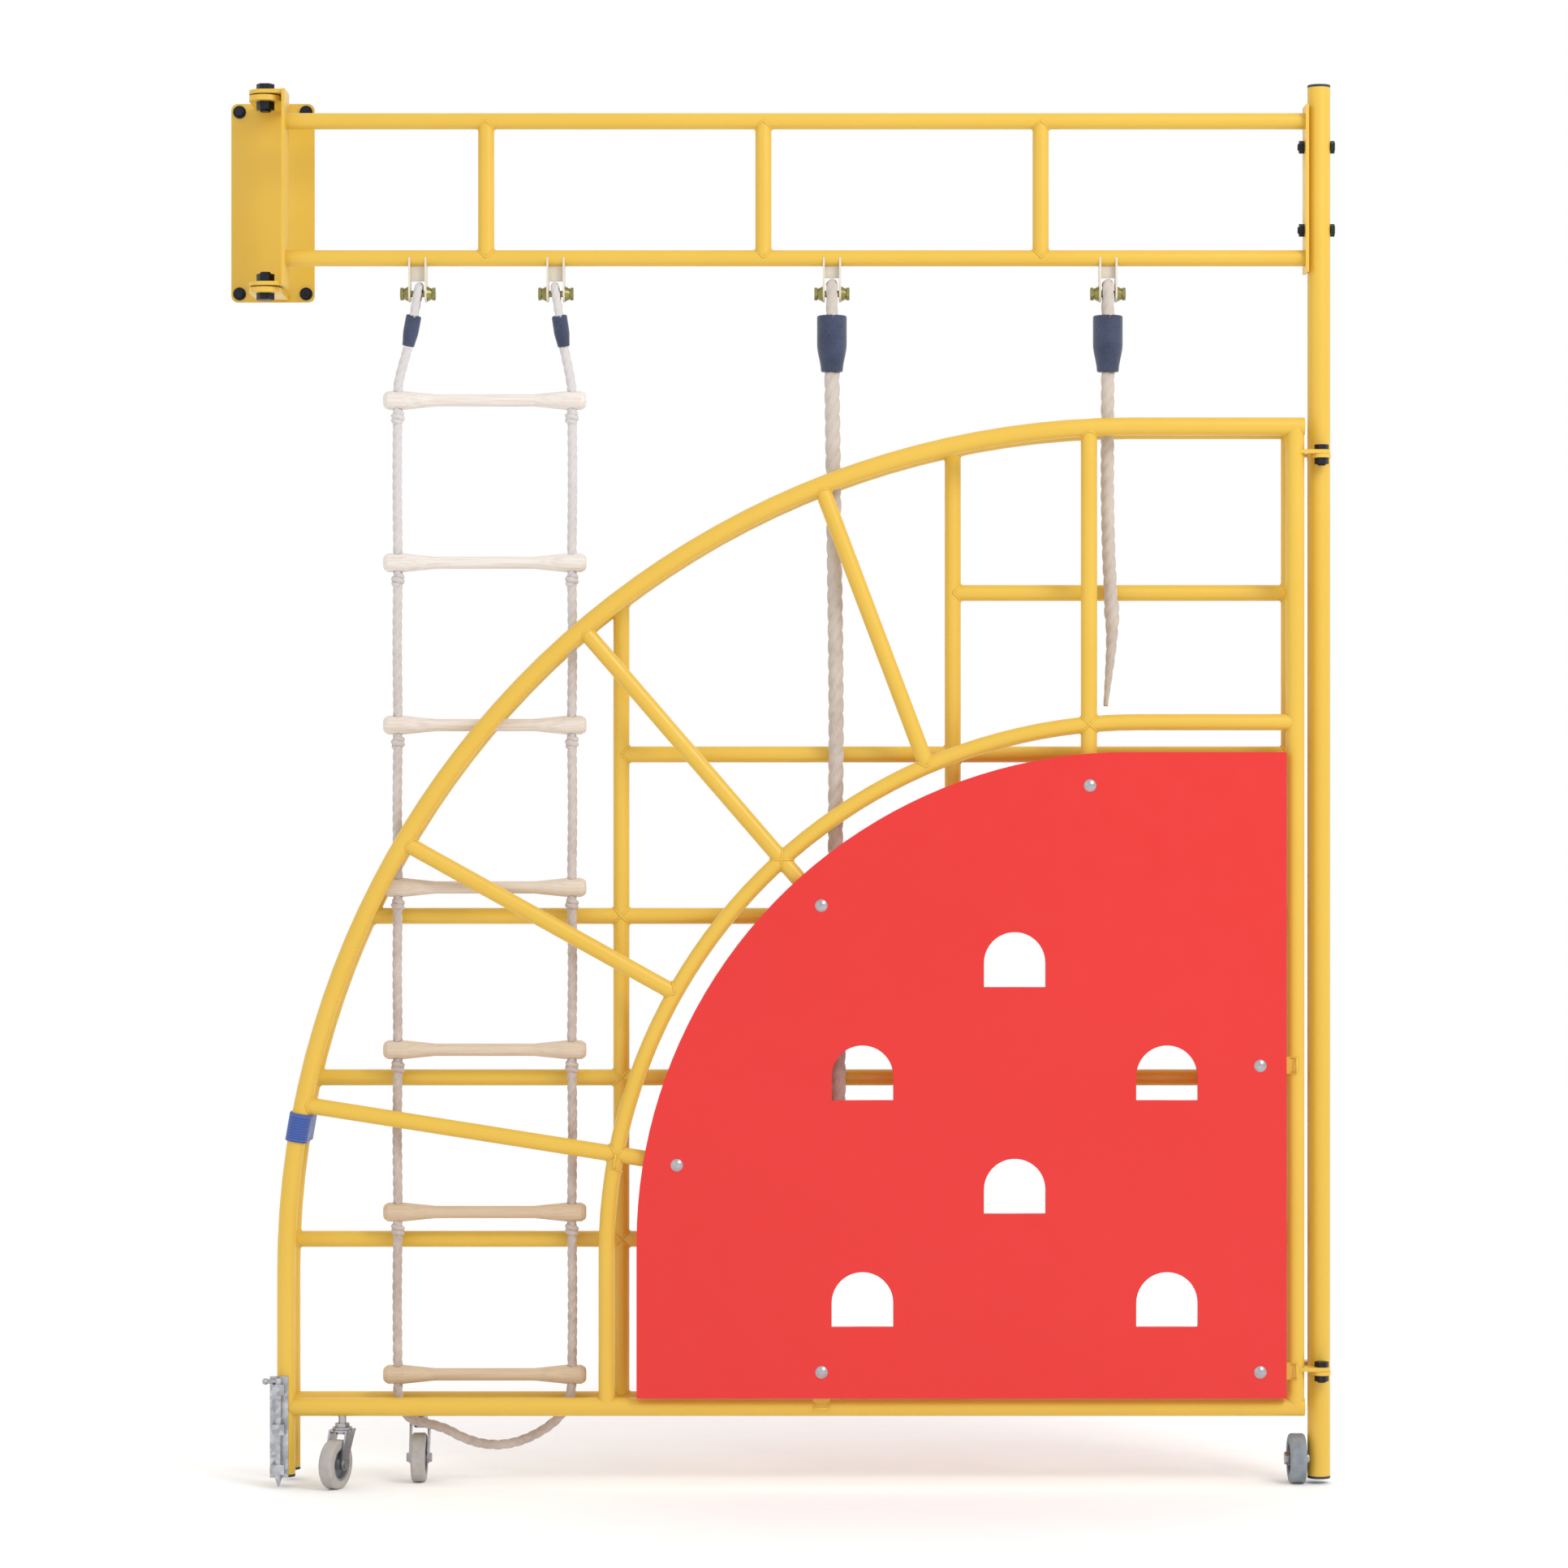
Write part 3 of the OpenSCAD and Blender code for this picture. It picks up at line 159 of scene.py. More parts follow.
def mix(tree: Tree, share: Socket | float, first: Socket | str, second: Socket | str) -> Socket:
    """Mixes two colours, each an output or a hex code.

    Args:
        tree: the node tree.
        share: how much there is of the second colour, from 0 to 1.
        first: the first colour.
        second: the second colour.

    Returns:
        The mixed colour.
    """
    ends = [linear(colour) if isinstance(colour, str) else colour for colour in (first, second)]
    inputs = {0: share, 6: ends[0], 7: ends[1]}
    return add_node(tree, "ShaderNodeMix", inputs, data_type="RGBA").outputs[2]


def join(tree: Tree, first: Socket, second: Socket, operation: str) -> Socket:
    """Returns two values joined by a sum or a product."""
    return add_node(tree, "ShaderNodeMath", {0: first, 1: second}, operation=operation).outputs[0]


@dataclass(frozen=True)
class Finish:
    """What one surface is made of and how it was made.

    Attributes:
        name: the material's name.
        slot: the record's material slot; not used.
        tint: main colour.
        shade: second colour, which the pattern mixes in.
        roughness: mean roughness.
        metallic: 1 for bare metal, else 0.
        size: the pattern's real size in metres.
    """

    name: str
    slot: str
    tint: str
    shade: str
    roughness: float
    metallic: float = 0.0
    size: float = 3 * MM

    def material(self) -> bpy.types.Material:
        """Makes this finish's material, or finds it again.

        Returns:
            The material.
        """
        found = bpy.data.materials.get(self.name)
        if found:
            return found
        made = bpy.data.materials.new(self.name)
        made.use_nodes = True
        tree = made.node_tree
        tree.nodes.clear()
        shader = add_node(
            tree,
            "ShaderNodeBsdfPrincipled",
            {"Base Color": linear(self.tint), "Roughness": self.roughness, "Metallic": self.metallic},
        )
        add_node(tree, "ShaderNodeOutputMaterial", {"Surface": shader.outputs["BSDF"]})
        self.pattern(tree, shader)
        return made

    def pattern(self, tree: Tree, shader: Node) -> None:
        """Adds the finish's own detail to the shader. A plain finish has none."""

    def gloss(self, tree: Tree, value: Socket, old: Pair, less: float, more: float) -> Socket:
        """Returns a roughness that swings from less under the mean to more over it."""
        return remap(tree, value, old, (self.roughness - less, self.roughness + more))

    def wire(
        self,
        tree: Tree,
        shader: Node,
        colour: Socket,
        relief: tuple[Socket, float, float],
        gloss: Socket | None = None,
    ) -> None:
        """Links a pattern to the shader.

        Args:
            tree: the material's nodes.
            shader: the shader.
            colour: its base colour.
            relief: height, strength, and depth in metres.
            gloss: its roughness, or None to keep the mean.
        """
        tree.links.new(colour, shader.inputs["Base Color"])
        if gloss is not None:
            tree.links.new(gloss, shader.inputs["Roughness"])
        inputs = {"Height": relief[0], "Strength": relief[1], "Distance": relief[2]}
        tree.links.new(add_node(tree, "ShaderNodeBump", inputs).outputs[0], shader.inputs["Normal"])

    def dress(self, obj: bpy.types.Object) -> bpy.types.Object:
        """Puts this finish on every material slot of an object.

        Args:
            obj: the object.

        Returns:
            The same object.
        """
        made = self.material()
        if obj.data.materials:
            for index in range(len(obj.data.materials)):
                obj.data.materials[index] = made
        else:
            obj.data.materials.append(made)
        return obj


@dataclass(frozen=True)
class PowderCoat(Finish):
    """Polyester powder baked on steel: even and slightly glossy, with a faint orange peel."""

    def pattern(self, tree: Tree, shader: Node) -> None:
        """Adds slow drift in the colour, scuffs that dull the gloss, and the orange peel.

        Args:
            tree: the material's nodes.
            shader: its shader.
        """
        place = surface(tree)
        drift = noise(tree, place, 1 / (60 * self.size), 3.0)
        scuff = noise(tree, place, 1 / (8 * self.size), 6.0)
        # Real orange peel is about 1 mm across, drawn at about 3 mm so that it shows
        peel = noise(tree, place, 1 / self.size, 2.0)
        colour = mix(tree, drift, self.tint, self.shade)
        gloss = self.gloss(tree, scuff, (0.35, 0.75), 0.05, 0.14)
        self.wire(tree, shader, colour, (peel, 0.25, 0.12 * MM), gloss)


@dataclass(frozen=True)
class PlatedSteel(Finish):
    """Steel with a thin plated or blackened skin: its tone shifts in soft patches."""

    def pattern(self, tree: Tree, shader: Node) -> None:
        """Adds patches of tone, a matching change in gloss, and fine machining grain.

        Args:
            tree: the material's nodes.
            shader: its shader.
        """
        place = surface(tree)
        patch = noise(tree, place, 1 / self.size, 4.0)
        grain = noise(tree, place, 6 / self.size, 3.0)
        colour = mix(tree, patch, self.tint, self.shade)
        gloss = self.gloss(tree, patch, (0.0, 1.0), 0.08, 0.12)
        self.wire(tree, shader, colour, (grain, 0.2, 0.05 * MM), gloss)


@dataclass(frozen=True)
class HotDipZinc(Finish):
    """Hot-dip galvanised steel: dull grey with crystals of differing tone, its spangle."""

    def pattern(self, tree: Tree, shader: Node) -> None:
        """Adds the spangle as flat cells that differ in tone and gloss.

        Args:
            tree: the material's nodes.
            shader: its shader.
        """
        place = surface(tree)
        spangle = add_node(tree, "ShaderNodeTexVoronoi", {"Vector": place, "Scale": 1 / self.size})
        tone = add_node(tree, "ShaderNodeSeparateColor", {0: spangle.outputs["Color"]})
        skin = noise(tree, place, 2 / self.size, 4.0)
        colour = mix(tree, tone.outputs[0], self.tint, self.shade)
        gloss = self.gloss(tree, tone.outputs[1], (0.0, 1.0), 0.07, 0.1)
        self.wire(tree, shader, colour, (skin, 0.25, 0.1 * MM), gloss)


@dataclass(frozen=True)
class Moulded(Finish):
    """Moulded plastic or rubber: matt, with a fine tool grain and a little dust in its tone."""

    def pattern(self, tree: Tree, shader: Node) -> None:
        """Adds the tool grain and the dusty tone.

        Args:
            tree: the material's nodes.
            shader: its shader.
        """
        place = surface(tree)
        dust = noise(tree, place, 1 / (12 * self.size), 5.0)
        grain = noise(tree, place, 1 / self.size, 3.0)
        colour = mix(tree, remap(tree, dust, (0.35, 0.7)), self.tint, self.shade)
        self.wire(tree, shader, colour, (grain, 0.35, 0.1 * MM))


@dataclass(frozen=True)
class SheetPlastic(Finish):
    """Extruded polyethylene board: solid colour all through, satin, with a soft pebbled face."""

    def pattern(self, tree: Tree, shader: Node) -> None:
        """Adds the pebbled face, faint climbing scuffs and a slow drift of tone.

        Args:
            tree: the material's nodes.
            shader: its shader.
        """
        place = surface(tree)
        drift = noise(tree, place, 1 / (110 * self.size), 3.0)
        rub = noise(tree, place, 1 / (14 * self.size), 8.0)
        cells = {"Vector": place, "Scale": 1 / self.size}
        pebble = add_node(tree, "ShaderNodeTexVoronoi", cells, feature="SMOOTH_F1").outputs["Distance"]
        colour = mix(tree, drift, self.tint, self.shade)
        gloss = self.gloss(tree, rub, (0.4, 0.7), 0.05, 0.12)
        self.wire(tree, shader, colour, (pebble, 0.3, 0.15 * MM), gloss)


@dataclass(frozen=True)
class TurnedWood(Finish):
    """Turned beech under wax: light in tone, with fine brown flecks and long grain along the rung.

    The upper rungs are drawn paler than the lower ones: painted light, for the brighter light near the
    top.

    Attributes:
        painted_light_top: colour painted on the top rungs as painted light.
        painted_light_levels: heights where the painted light starts to make the rungs paler and where it
            stops, in metres.
        grain_width: distance from grain line to grain line, in metres.
    """

    painted_light_top: str = "#E0D9D2"
    painted_light_levels: Pair = (-1.55, -0.55)
    grain_width: float = 2 * MM

    def pattern(self, tree: Tree, shader: Node) -> None:
        """Adds long grain, short flecks, and painted light that makes the rungs paler towards the top.

        Args:
            tree: the material's nodes.
            shader: its shader.
        """
        place = surface(tree)
        lines = 1 / self.grain_width
        grain = noise(tree, stretch(tree, place, (lines / 40, lines, lines)), 1.0, 4.0)
        flecks = noise(tree, stretch(tree, place, (180.0, 900.0, 900.0)), 1.0, 2.0)
        level = add_node(tree, "ShaderNodeSeparateXYZ", {0: place}).outputs["Z"]
        # Painted light: the wood is drawn paler with height, towards the brighter top.
        wood = mix(tree, remap(tree, level, self.painted_light_levels), self.tint, self.painted_light_top)
        streak = mix(tree, 0.3, wood, self.shade)
        streaked = mix(tree, remap(tree, grain, (0.4, 0.68)), wood, streak)
        flecked = mix(tree, remap(tree, flecks, (0.66, 0.74), (0.0, 0.35)), streaked, self.shade)
        self.wire(tree, shader, flecked, (grain, 0.25, 0.15 * MM))


@dataclass(frozen=True)
class Spun(Finish):
    """Spun fibre: rope or twine. Fine yarns run along the strand, with a soft fuzzy sheen.

    The mesh's UV map gives metres along the strand and metres round it. With a top colour set,
    the fibre is drawn paler with height: painted light, for the brighter light near the top.

    Attributes:
        painted_light_top: colour painted on the highest fibre as painted light, or nothing for one
            colour all over.
        painted_light_levels: heights where the painted light starts to make it paler and where it stops,
            in metres.
    """

    painted_light_top: str = ""
    painted_light_levels: Pair = (-1.3, -0.35)

    def pattern(self, tree: Tree, shader: Node) -> None:
        """Adds the yarns, the loose dirt in them, the sheen and the painted light of the paler top.

        Args:
            tree: the material's nodes.
            shader: its shader.
        """
        place = surface(tree)
        strand = add_node(tree, "ShaderNodeUVMap", uv_map="strand").outputs[0]
        yarn = noise(tree, stretch(tree, strand, (1 / (9 * self.size), 1 / self.size, 1.0)), 1.0, 3.0)
        dirt = noise(tree, place, 28.0, 5.0)
        worn = remap(tree, join(tree, yarn, dirt, "ADD"), (0.75, 1.3))
        colour = mix(tree, worn, self.tint, self.shade)
        # Painted light: the fibre is drawn paler towards the top, where the light is brighter.
        if self.painted_light_top:
            level = add_node(tree, "ShaderNodeSeparateXYZ", {0: place}).outputs["Z"]
            colour = mix(tree, remap(tree, level, self.painted_light_levels, (0.0, 0.75)), colour, self.painted_light_top)
        shader.inputs["Sheen Weight"].default_value = 0.25
        shader.inputs["Sheen Roughness"].default_value = 0.5
        shader.inputs["Specular IOR Level"].default_value = 0.25
        self.wire(tree, shader, colour, (yarn, 0.6, 0.5 * MM))


@dataclass(frozen=True)
class Webbing(Finish):
    """Woven polyester webbing: fine ribs across its width and a chevron of warp threads."""

    def pattern(self, tree: Tree, shader: Node) -> None:
        """Adds the ribs and the warp threads. Real ribs are 1.5 mm apart, drawn at 2.5 mm.

        Args:
            tree: the material's nodes.
            shader: its shader.
        """
        strand = add_node(tree, "ShaderNodeUVMap", uv_map="strand").outputs[0]
        rib_waves = {"Vector": strand, "Scale": 0.314 / self.size, "Distortion": 0.6, "Detail": 2.0}
        warp_waves = {"Vector": strand, "Scale": 0.2 / self.size, "Distortion": 0.4}
        ribs = add_node(tree, "ShaderNodeTexWave", rib_waves, bands_direction="X").outputs["Fac"]
        warp = add_node(tree, "ShaderNodeTexWave", warp_waves, bands_direction="Y").outputs["Fac"]
        cloth = join(tree, ribs, warp, "MULTIPLY")
        shader.inputs["Sheen Weight"].default_value = 0.35
        shader.inputs["Sheen Roughness"].default_value = 0.4
        self.wire(tree, shader, mix(tree, cloth, self.shade, self.tint), (cloth, 0.7, 0.4 * MM))


YELLOW_COAT = PowderCoat("yellow_powder_coated_steel", "yellow_tube", "#DCB444", "#D3AA35", 0.33)
BLACKENED = PlatedSteel(
    "black_oxide_bolt_steel", "dark_fastener", "#3A3B42", "#24252A", 0.42, 1.0, 8 * MM
)
CAP_PLASTIC = Moulded(
    "black_moulded_polyethylene", "black_cap", "#2B2D30", "#3B3D40", 0.55, 0.0, 1.5 * MM
)
BRONZE = PlatedSteel("oiled_sintered_bronze", "thrust_washer", "#C8A667", "#8F7340", 0.4, 1.0, 4 * MM)
CREAM_ENAMEL = PlatedSteel(
    "cream_enamelled_steel", "hanger_steel", "#DCD5C8", "#C9C0AC", 0.35, 0.0, 14 * MM
)
OLIVE_ZINC = PlatedSteel(
    "yellow_passivated_zinc_steel", "yellow_zinc", "#A39D66", "#6F6A3E", 0.36, 1.0, 7 * MM
)
GALVANISED = HotDipZinc(
    "hot_dip_galvanised_steel", "zinc_steel", "#C6C8CC", "#9DA0A6", 0.42, 1.0, 7 * MM
)
BRIGHT_ZINC = PlatedSteel(
    "bright_zinc_plated_steel", "zinc_steel", "#C0BFC2", "#96959A", 0.3, 1.0, 10 * MM
)
RIM_NYLON = Moulded("grey_moulded_nylon", "wheel_rim", "#6E7176", "#85888C", 0.5, 0.0, 1.2 * MM)
POST_RUBBER = Moulded("blue_grey_rubber", "post_tyre", "#767F88", "#8F969C", 0.75, 0.0, 1.5 * MM)
CASTOR_RUBBER = Moulded("brown_grey_rubber", "castor_tyre", "#A19D9A", "#B2ADA8", 0.75, 0.0, 1.5 * MM)
RED_BOARD = SheetPlastic("red_polyethylene_board", "red_panel", "#D8241F", "#D21F1B", 0.33, 0.0, 3 * MM)
BEECH = TurnedWood("waxed_turned_beech", "turned_wood", "#C9B295", "#A68A6C", 0.45)
# The last colour of each rope fibre is painted light: the rope is drawn paler towards the top.
LADDER_FIBRE = Spun(
    "laid_ladder_rope_fibre", "twisted_rope", "#C6B8AF", "#A4948B", 0.85, 0.0, 1.1 * MM, "#D2D0D1"
)
ROPE_FIBRE = Spun(
    "laid_climbing_rope_fibre", "twisted_rope", "#C2B4A9", "#9B897E", 0.85, 0.0, 1.4 * MM, "#C6BDB4"
)
NAVY_TWINE = Spun("navy_bound_twine", "navy_whipping", "#414B66", "#2A3046", 0.6, 0.0, 0.8 * MM)
BLUE_WEBBING = Webbing(
    "blue_polyester_webbing", "blue_webbing", "#4467B4", "#2A468C", 0.7, 0.0, 2.5 * MM
)
TAPE = Spun("grey_blue_cloth_tape", "navy_whipping", "#98A2AE", "#7F8A98", 0.6, 0.0, 0.8 * MM)
STITCH_THREAD = Spun("bonded_nylon_thread", "blue_webbing", "#6F88C8", "#4E69B2", 0.6, 0.0, 0.4 * MM)


class Dress(Enum):
    """The finish of each CAD node that keeps its own shape."""

    YELLOW = (
        YELLOW_COAT,
        "wall_plate pivot_ears pivot_plate pivot_lugs beam_rails beam_struts post_plate post post_ears "
        "front_outer_tube front_inner_tube front_hinge_tube front_bottom_rail front_spokes panel_stubs "
        "front_ears back_outer_tube back_hinge_tube back_bottom_rail back_uprights back_rungs back_ears",
    )
    DARK = (BLACKENED, "anchor_bolts pivot_bolts pivot_nuts beam_bolts hinge_bolts hinge_nuts")
    CAPS = (CAP_PLASTIC, "post_caps front_foot_plug back_foot_plug")
    WASHERS = (BRONZE, "thrust_washers")
    CHEEKS = (CREAM_ENAMEL, "hanger_cheeks")
    HANGER_FIXINGS = (OLIVE_ZINC, "hanger_bolts hanger_nuts")
    BOLT = (GALVANISED, "floor_bolt_body floor_bolt_rod")
    CASTOR_STEEL = (
        BRIGHT_ZINC,
        "castor_a_stem castor_a_fork castor_a_axle castor_b_stem castor_b_fork castor_b_axle "
        "wheel_axle panel_bolts",
    )
    RIMS = (RIM_NYLON, "post_wheel_hub castor_a_wheel castor_b_wheel")
    POST_TYRE = (POST_RUBBER, "post_wheel_tyre")
    CASTOR_TYRES = (CASTOR_RUBBER, "castor_a_tyre castor_b_tyre")
    PANEL = (RED_BOARD, "climbing_panel")
    RUNGS = (BEECH, "ladder_rungs")

    def apply(self) -> None:
        """Dresses every node in this group."""
        finish, names = self.value
        for name in names.split():
            finish.dress(frame["nodes"][name])
        LOG.info("%s on %d nodes", finish.name, len(names.split()))


# ---- Shapes ----


def smooth_line(points: Line, step: float) -> Line:
    """Runs a smooth curve through a route's points.

    Args:
        points: the route.
        step: distance between the returned points, in metres.

    Returns:
        Evenly spaced points along the curve.
    """
    ends = np.vstack([2 * points[0] - points[1], points, 2 * points[-1] - points[-2]])
    share = np.linspace(0, 1, 16, endpoint=False)[:, None]
    pieces = []
    for a, b, c, d in zip(ends, ends[1:], ends[2:], ends[3:]):
        square, cube = 2 * a - 5 * b + 4 * c - d, 3 * b - a - 3 * c + d
        pieces.append(0.5 * (2 * b + (c - a) * share + square * share**2 + cube * share**3))
    fine = np.vstack([*pieces, points[-1:]])
    run = travelled(fine)
    stops = np.linspace(0, run[-1], max(2, round(run[-1] / step) + 1))
    return np.stack([np.interp(stops, run, fine[:, k]) for k in range(3)], axis=1)


def travelled(line: Line) -> np.ndarray:
    """Returns how far along a line each of its points is, in metres."""
    return np.concatenate([[0.0], np.cumsum(np.linalg.norm(np.diff(line, axis=0), axis=1))])


def unit(vector: np.ndarray) -> np.ndarray:
    """Returns a vector, or each row of several, at length 1."""
    return vector / np.maximum(np.linalg.norm(vector, axis=-1, keepdims=True), 1e-12)


def sides(line: Line) -> tuple[Line, Line]:
    """Finds two directions square to a line at each point, which don't spin about it.

    Args:
        line: the points.

    Returns:
        The two directions at each point.
    """
    heading = unit(np.gradient(line, axis=0))
    side = np.empty_like(line)
    last = np.cross(heading[0], (0.0, 1.0, 0.0))
    if np.linalg.norm(last) < 0.1:
        last = np.array([1.0, 0.0, 0.0])
    for index, ahead in enumerate(heading):
        last = unit(last - ahead * (last @ ahead))
        side[index] = last
    return side, np.cross(heading, side)


def circle(places: int) -> np.ndarray:
    """Returns evenly spaced angles for one full turn, in radians."""
    return np.linspace(0, 2 * math.pi, places, endpoint=False)


def spokes(side: Line, other: Line, places: int) -> np.ndarray:
    """Returns directions all round each point, from two that are square to each other."""
    turn = circle(places)[None, :, None]
    return np.cos(turn) * side[:, None] + np.sin(turn) * other[:, None]


def seam(length: float, places: int) -> np.ndarray:
    """Returns distances round a ring of some places, with one more where it closes."""
    return np.linspace(0, length, places + 1)


class Skin:
    """Gathers swept rings of points into one mesh, with metres along and round as its UV map."""

    def __init__(self) -> None:
        """Starts with nothing in the mesh."""
        self.points: list[np.ndarray] = []
        self.faces: list[tuple[int, ...]] = []
        self.uvs: list[Pair] = []
        self.count = 0

    def sweep(self, rings: Line, along: Line, around: Line, loop: bool = False) -> None:
        """Adds a tube from its rings.

        Args:
            rings: points, as ring by place in the ring by 3.
            along: metres along the tube at each ring.
            around: metres round the tube at each place in a ring, with one more for the seam.
            loop: whether the last ring joins the first, in place of two end caps.
        """
        rows, places = rings.shape[:2]
        self.points.append(rings.reshape(-1, 3))
        base = self.count
        self.count += rows * places
        for i in range(rows if loop else rows - 1):
            up = (i + 1) % rows
            far = along[up] if up else along[i] + along[1] - along[0]
            for j in range(places):
                k = (j + 1) % places
                near, next_row = base + i * places, base + up * places
                self.faces.append((near + j, near + k, next_row + k, next_row + j))
                start, end = around[j], around[j + 1]
                self.uvs += [(along[i], start), (along[i], end), (far, end), (far, start)]
        if loop:
            return
        for row, order in ((0, -1), (rows - 1, 1)):
            self.points.append(rings[row].mean(0)[None])
            for j in range(places):
                k = (j + 1) % places
                edge = (base + row * places + j, base + row * places + k)[::order]
                self.faces.append((*edge, self.count))
                self.uvs += [(along[row], around[j])] * 3
            self.count += 1

    def finish(self, name: str, look: Finish, body: str, *replaced: str) -> bpy.types.Object:
        """Makes the object, dresses it and puts it on its body.

        Args:
            name: the object's name.
            look: its finish.
            body: the CAD body that it moves with.
            replaced: the CAD nodes that it stands for.

        Returns:
            The new object.
        """
        mesh = bpy.data.meshes.new(name)
        mesh.from_pydata(np.vstack(self.points).tolist(), [], self.faces)
        layer = mesh.uv_layers.new(name="strand")
        layer.data.foreach_set("uv", np.array(self.uvs, np.float32).ravel())
        mesh.polygons.foreach_set("use_smooth", [True] * len(mesh.polygons))
        mesh.update()
        obj = bpy.data.objects.new(name, mesh)
        bpy.context.scene.collection.objects.link(obj)
        look.dress(obj)
        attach(obj, body)
        if replaced:
            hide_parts(*replaced)
        LOG.info("%s: %d faces on %s", name, len(mesh.polygons), body)
        return obj


def round_rings(line: Line, radius: np.ndarray, places: int) -> np.ndarray:
    """Returns round rings about a line, with a radius for each point."""
    return line[:, None] + radius[:, None, None] * spokes(*sides(line), places)


@dataclass(frozen=True)
class Lay:
    """How a rope's strands are laid up.

    Attributes:
        strands: number of strands.
        turn: length of one full turn of a strand, in rope diameters.
        groove: depth of the groove between strands, as a share of the rope's radius.
        places: points round one ring.
    """

    strands: int = 3
    turn: float = 3.2
    groove: float = 0.24
    places: int = 24

    def add(self, skin: Skin, line: Line, radius: float, change: np.ndarray | float = 0.0) -> None:
        """Adds a laid rope to a skin.

        Args:
            skin: where its mesh goes.
            line: its centreline, evenly spaced.
            radius: its main radius, which sets how long a turn is.
            change: how much wider it is at each point.
        """
        run = travelled(line)
        twist = 2 * math.pi * run / (2 * radius * self.turn)
        crown = np.abs(np.cos(self.strands / 2 * (circle(self.places)[None] - twist[:, None])))
        width = np.full(len(line), radius) + change
        lobed = width[:, None] * (1 - self.groove * (1 - crown) ** 1.5)
        rings = line[:, None] + lobed[..., None] * spokes(*sides(line), self.places)
        skin.sweep(rings, run, seam(2 * math.pi * radius, self.places))


def islands(name: str) -> list[np.ndarray]:
    """Splits a CAD node into its separate solids.

    Args:
        name: the node.

    Returns:
        The points of each solid, from the lowest X, then Z, up.
    """
    mesh = frame["nodes"][name].data
    places = np.array([v.co for v in mesh.vertices], float)
    same, index = np.unique(np.round(places, 5), axis=0, return_inverse=True)
    index = index.ravel()
    parent = np.arange(len(same))

    def root(item: int) -> int:
        """Finds the group that a point belongs to.

        Args:
            item: the point's number.

        Returns:
            The number of the group's first point.
        """
        while parent[item] != item:
            parent[item] = parent[parent[item]]
            item = parent[item]
        return item

    for edge in mesh.edges:
        parent[root(index[edge.vertices[0]])] = root(index[edge.vertices[1]])
    groups: dict[int, list[int]] = {}
    for item in range(len(same)):
        groups.setdefault(root(item), []).append(item)
    solids = [same[members] for members in groups.values()]
    return sorted(solids, key=lambda p: (round(p[:, 0].min(), 3), round(p[:, 2].min(), 3)))


# ---- Welds ----


@dataclass(frozen=True)
class Tube:
    """A tube at a weld. An arc lies in an upright plane along the beam.

    Attributes:
        centre: a point on a straight tube's axis, or an arc's centre.
        heading: a straight tube's direction.
        radius: half the tube's diameter.
        bend: an arc's radius, or 0 for a straight tube.
    """

    centre: np.ndarray
    heading: np.ndarray
    radius: float
    bend: float = 0.0

    def near(self, point: np.ndarray) -> tuple[np.ndarray, np.ndarray]:
        """Finds where the tube's axis passes nearest to a point.

        Args:
            point: the point.

        Returns:
            The nearest place on the axis, and the axis's direction there.
        """
        away = point - self.centre
        if not self.bend:
            return self.centre + self.heading * (away @ self.heading), self.heading
        out = unit(away * (1, 0, 1))
        return self.centre + self.bend * out, np.array([-out[2], 0.0, out[0]])


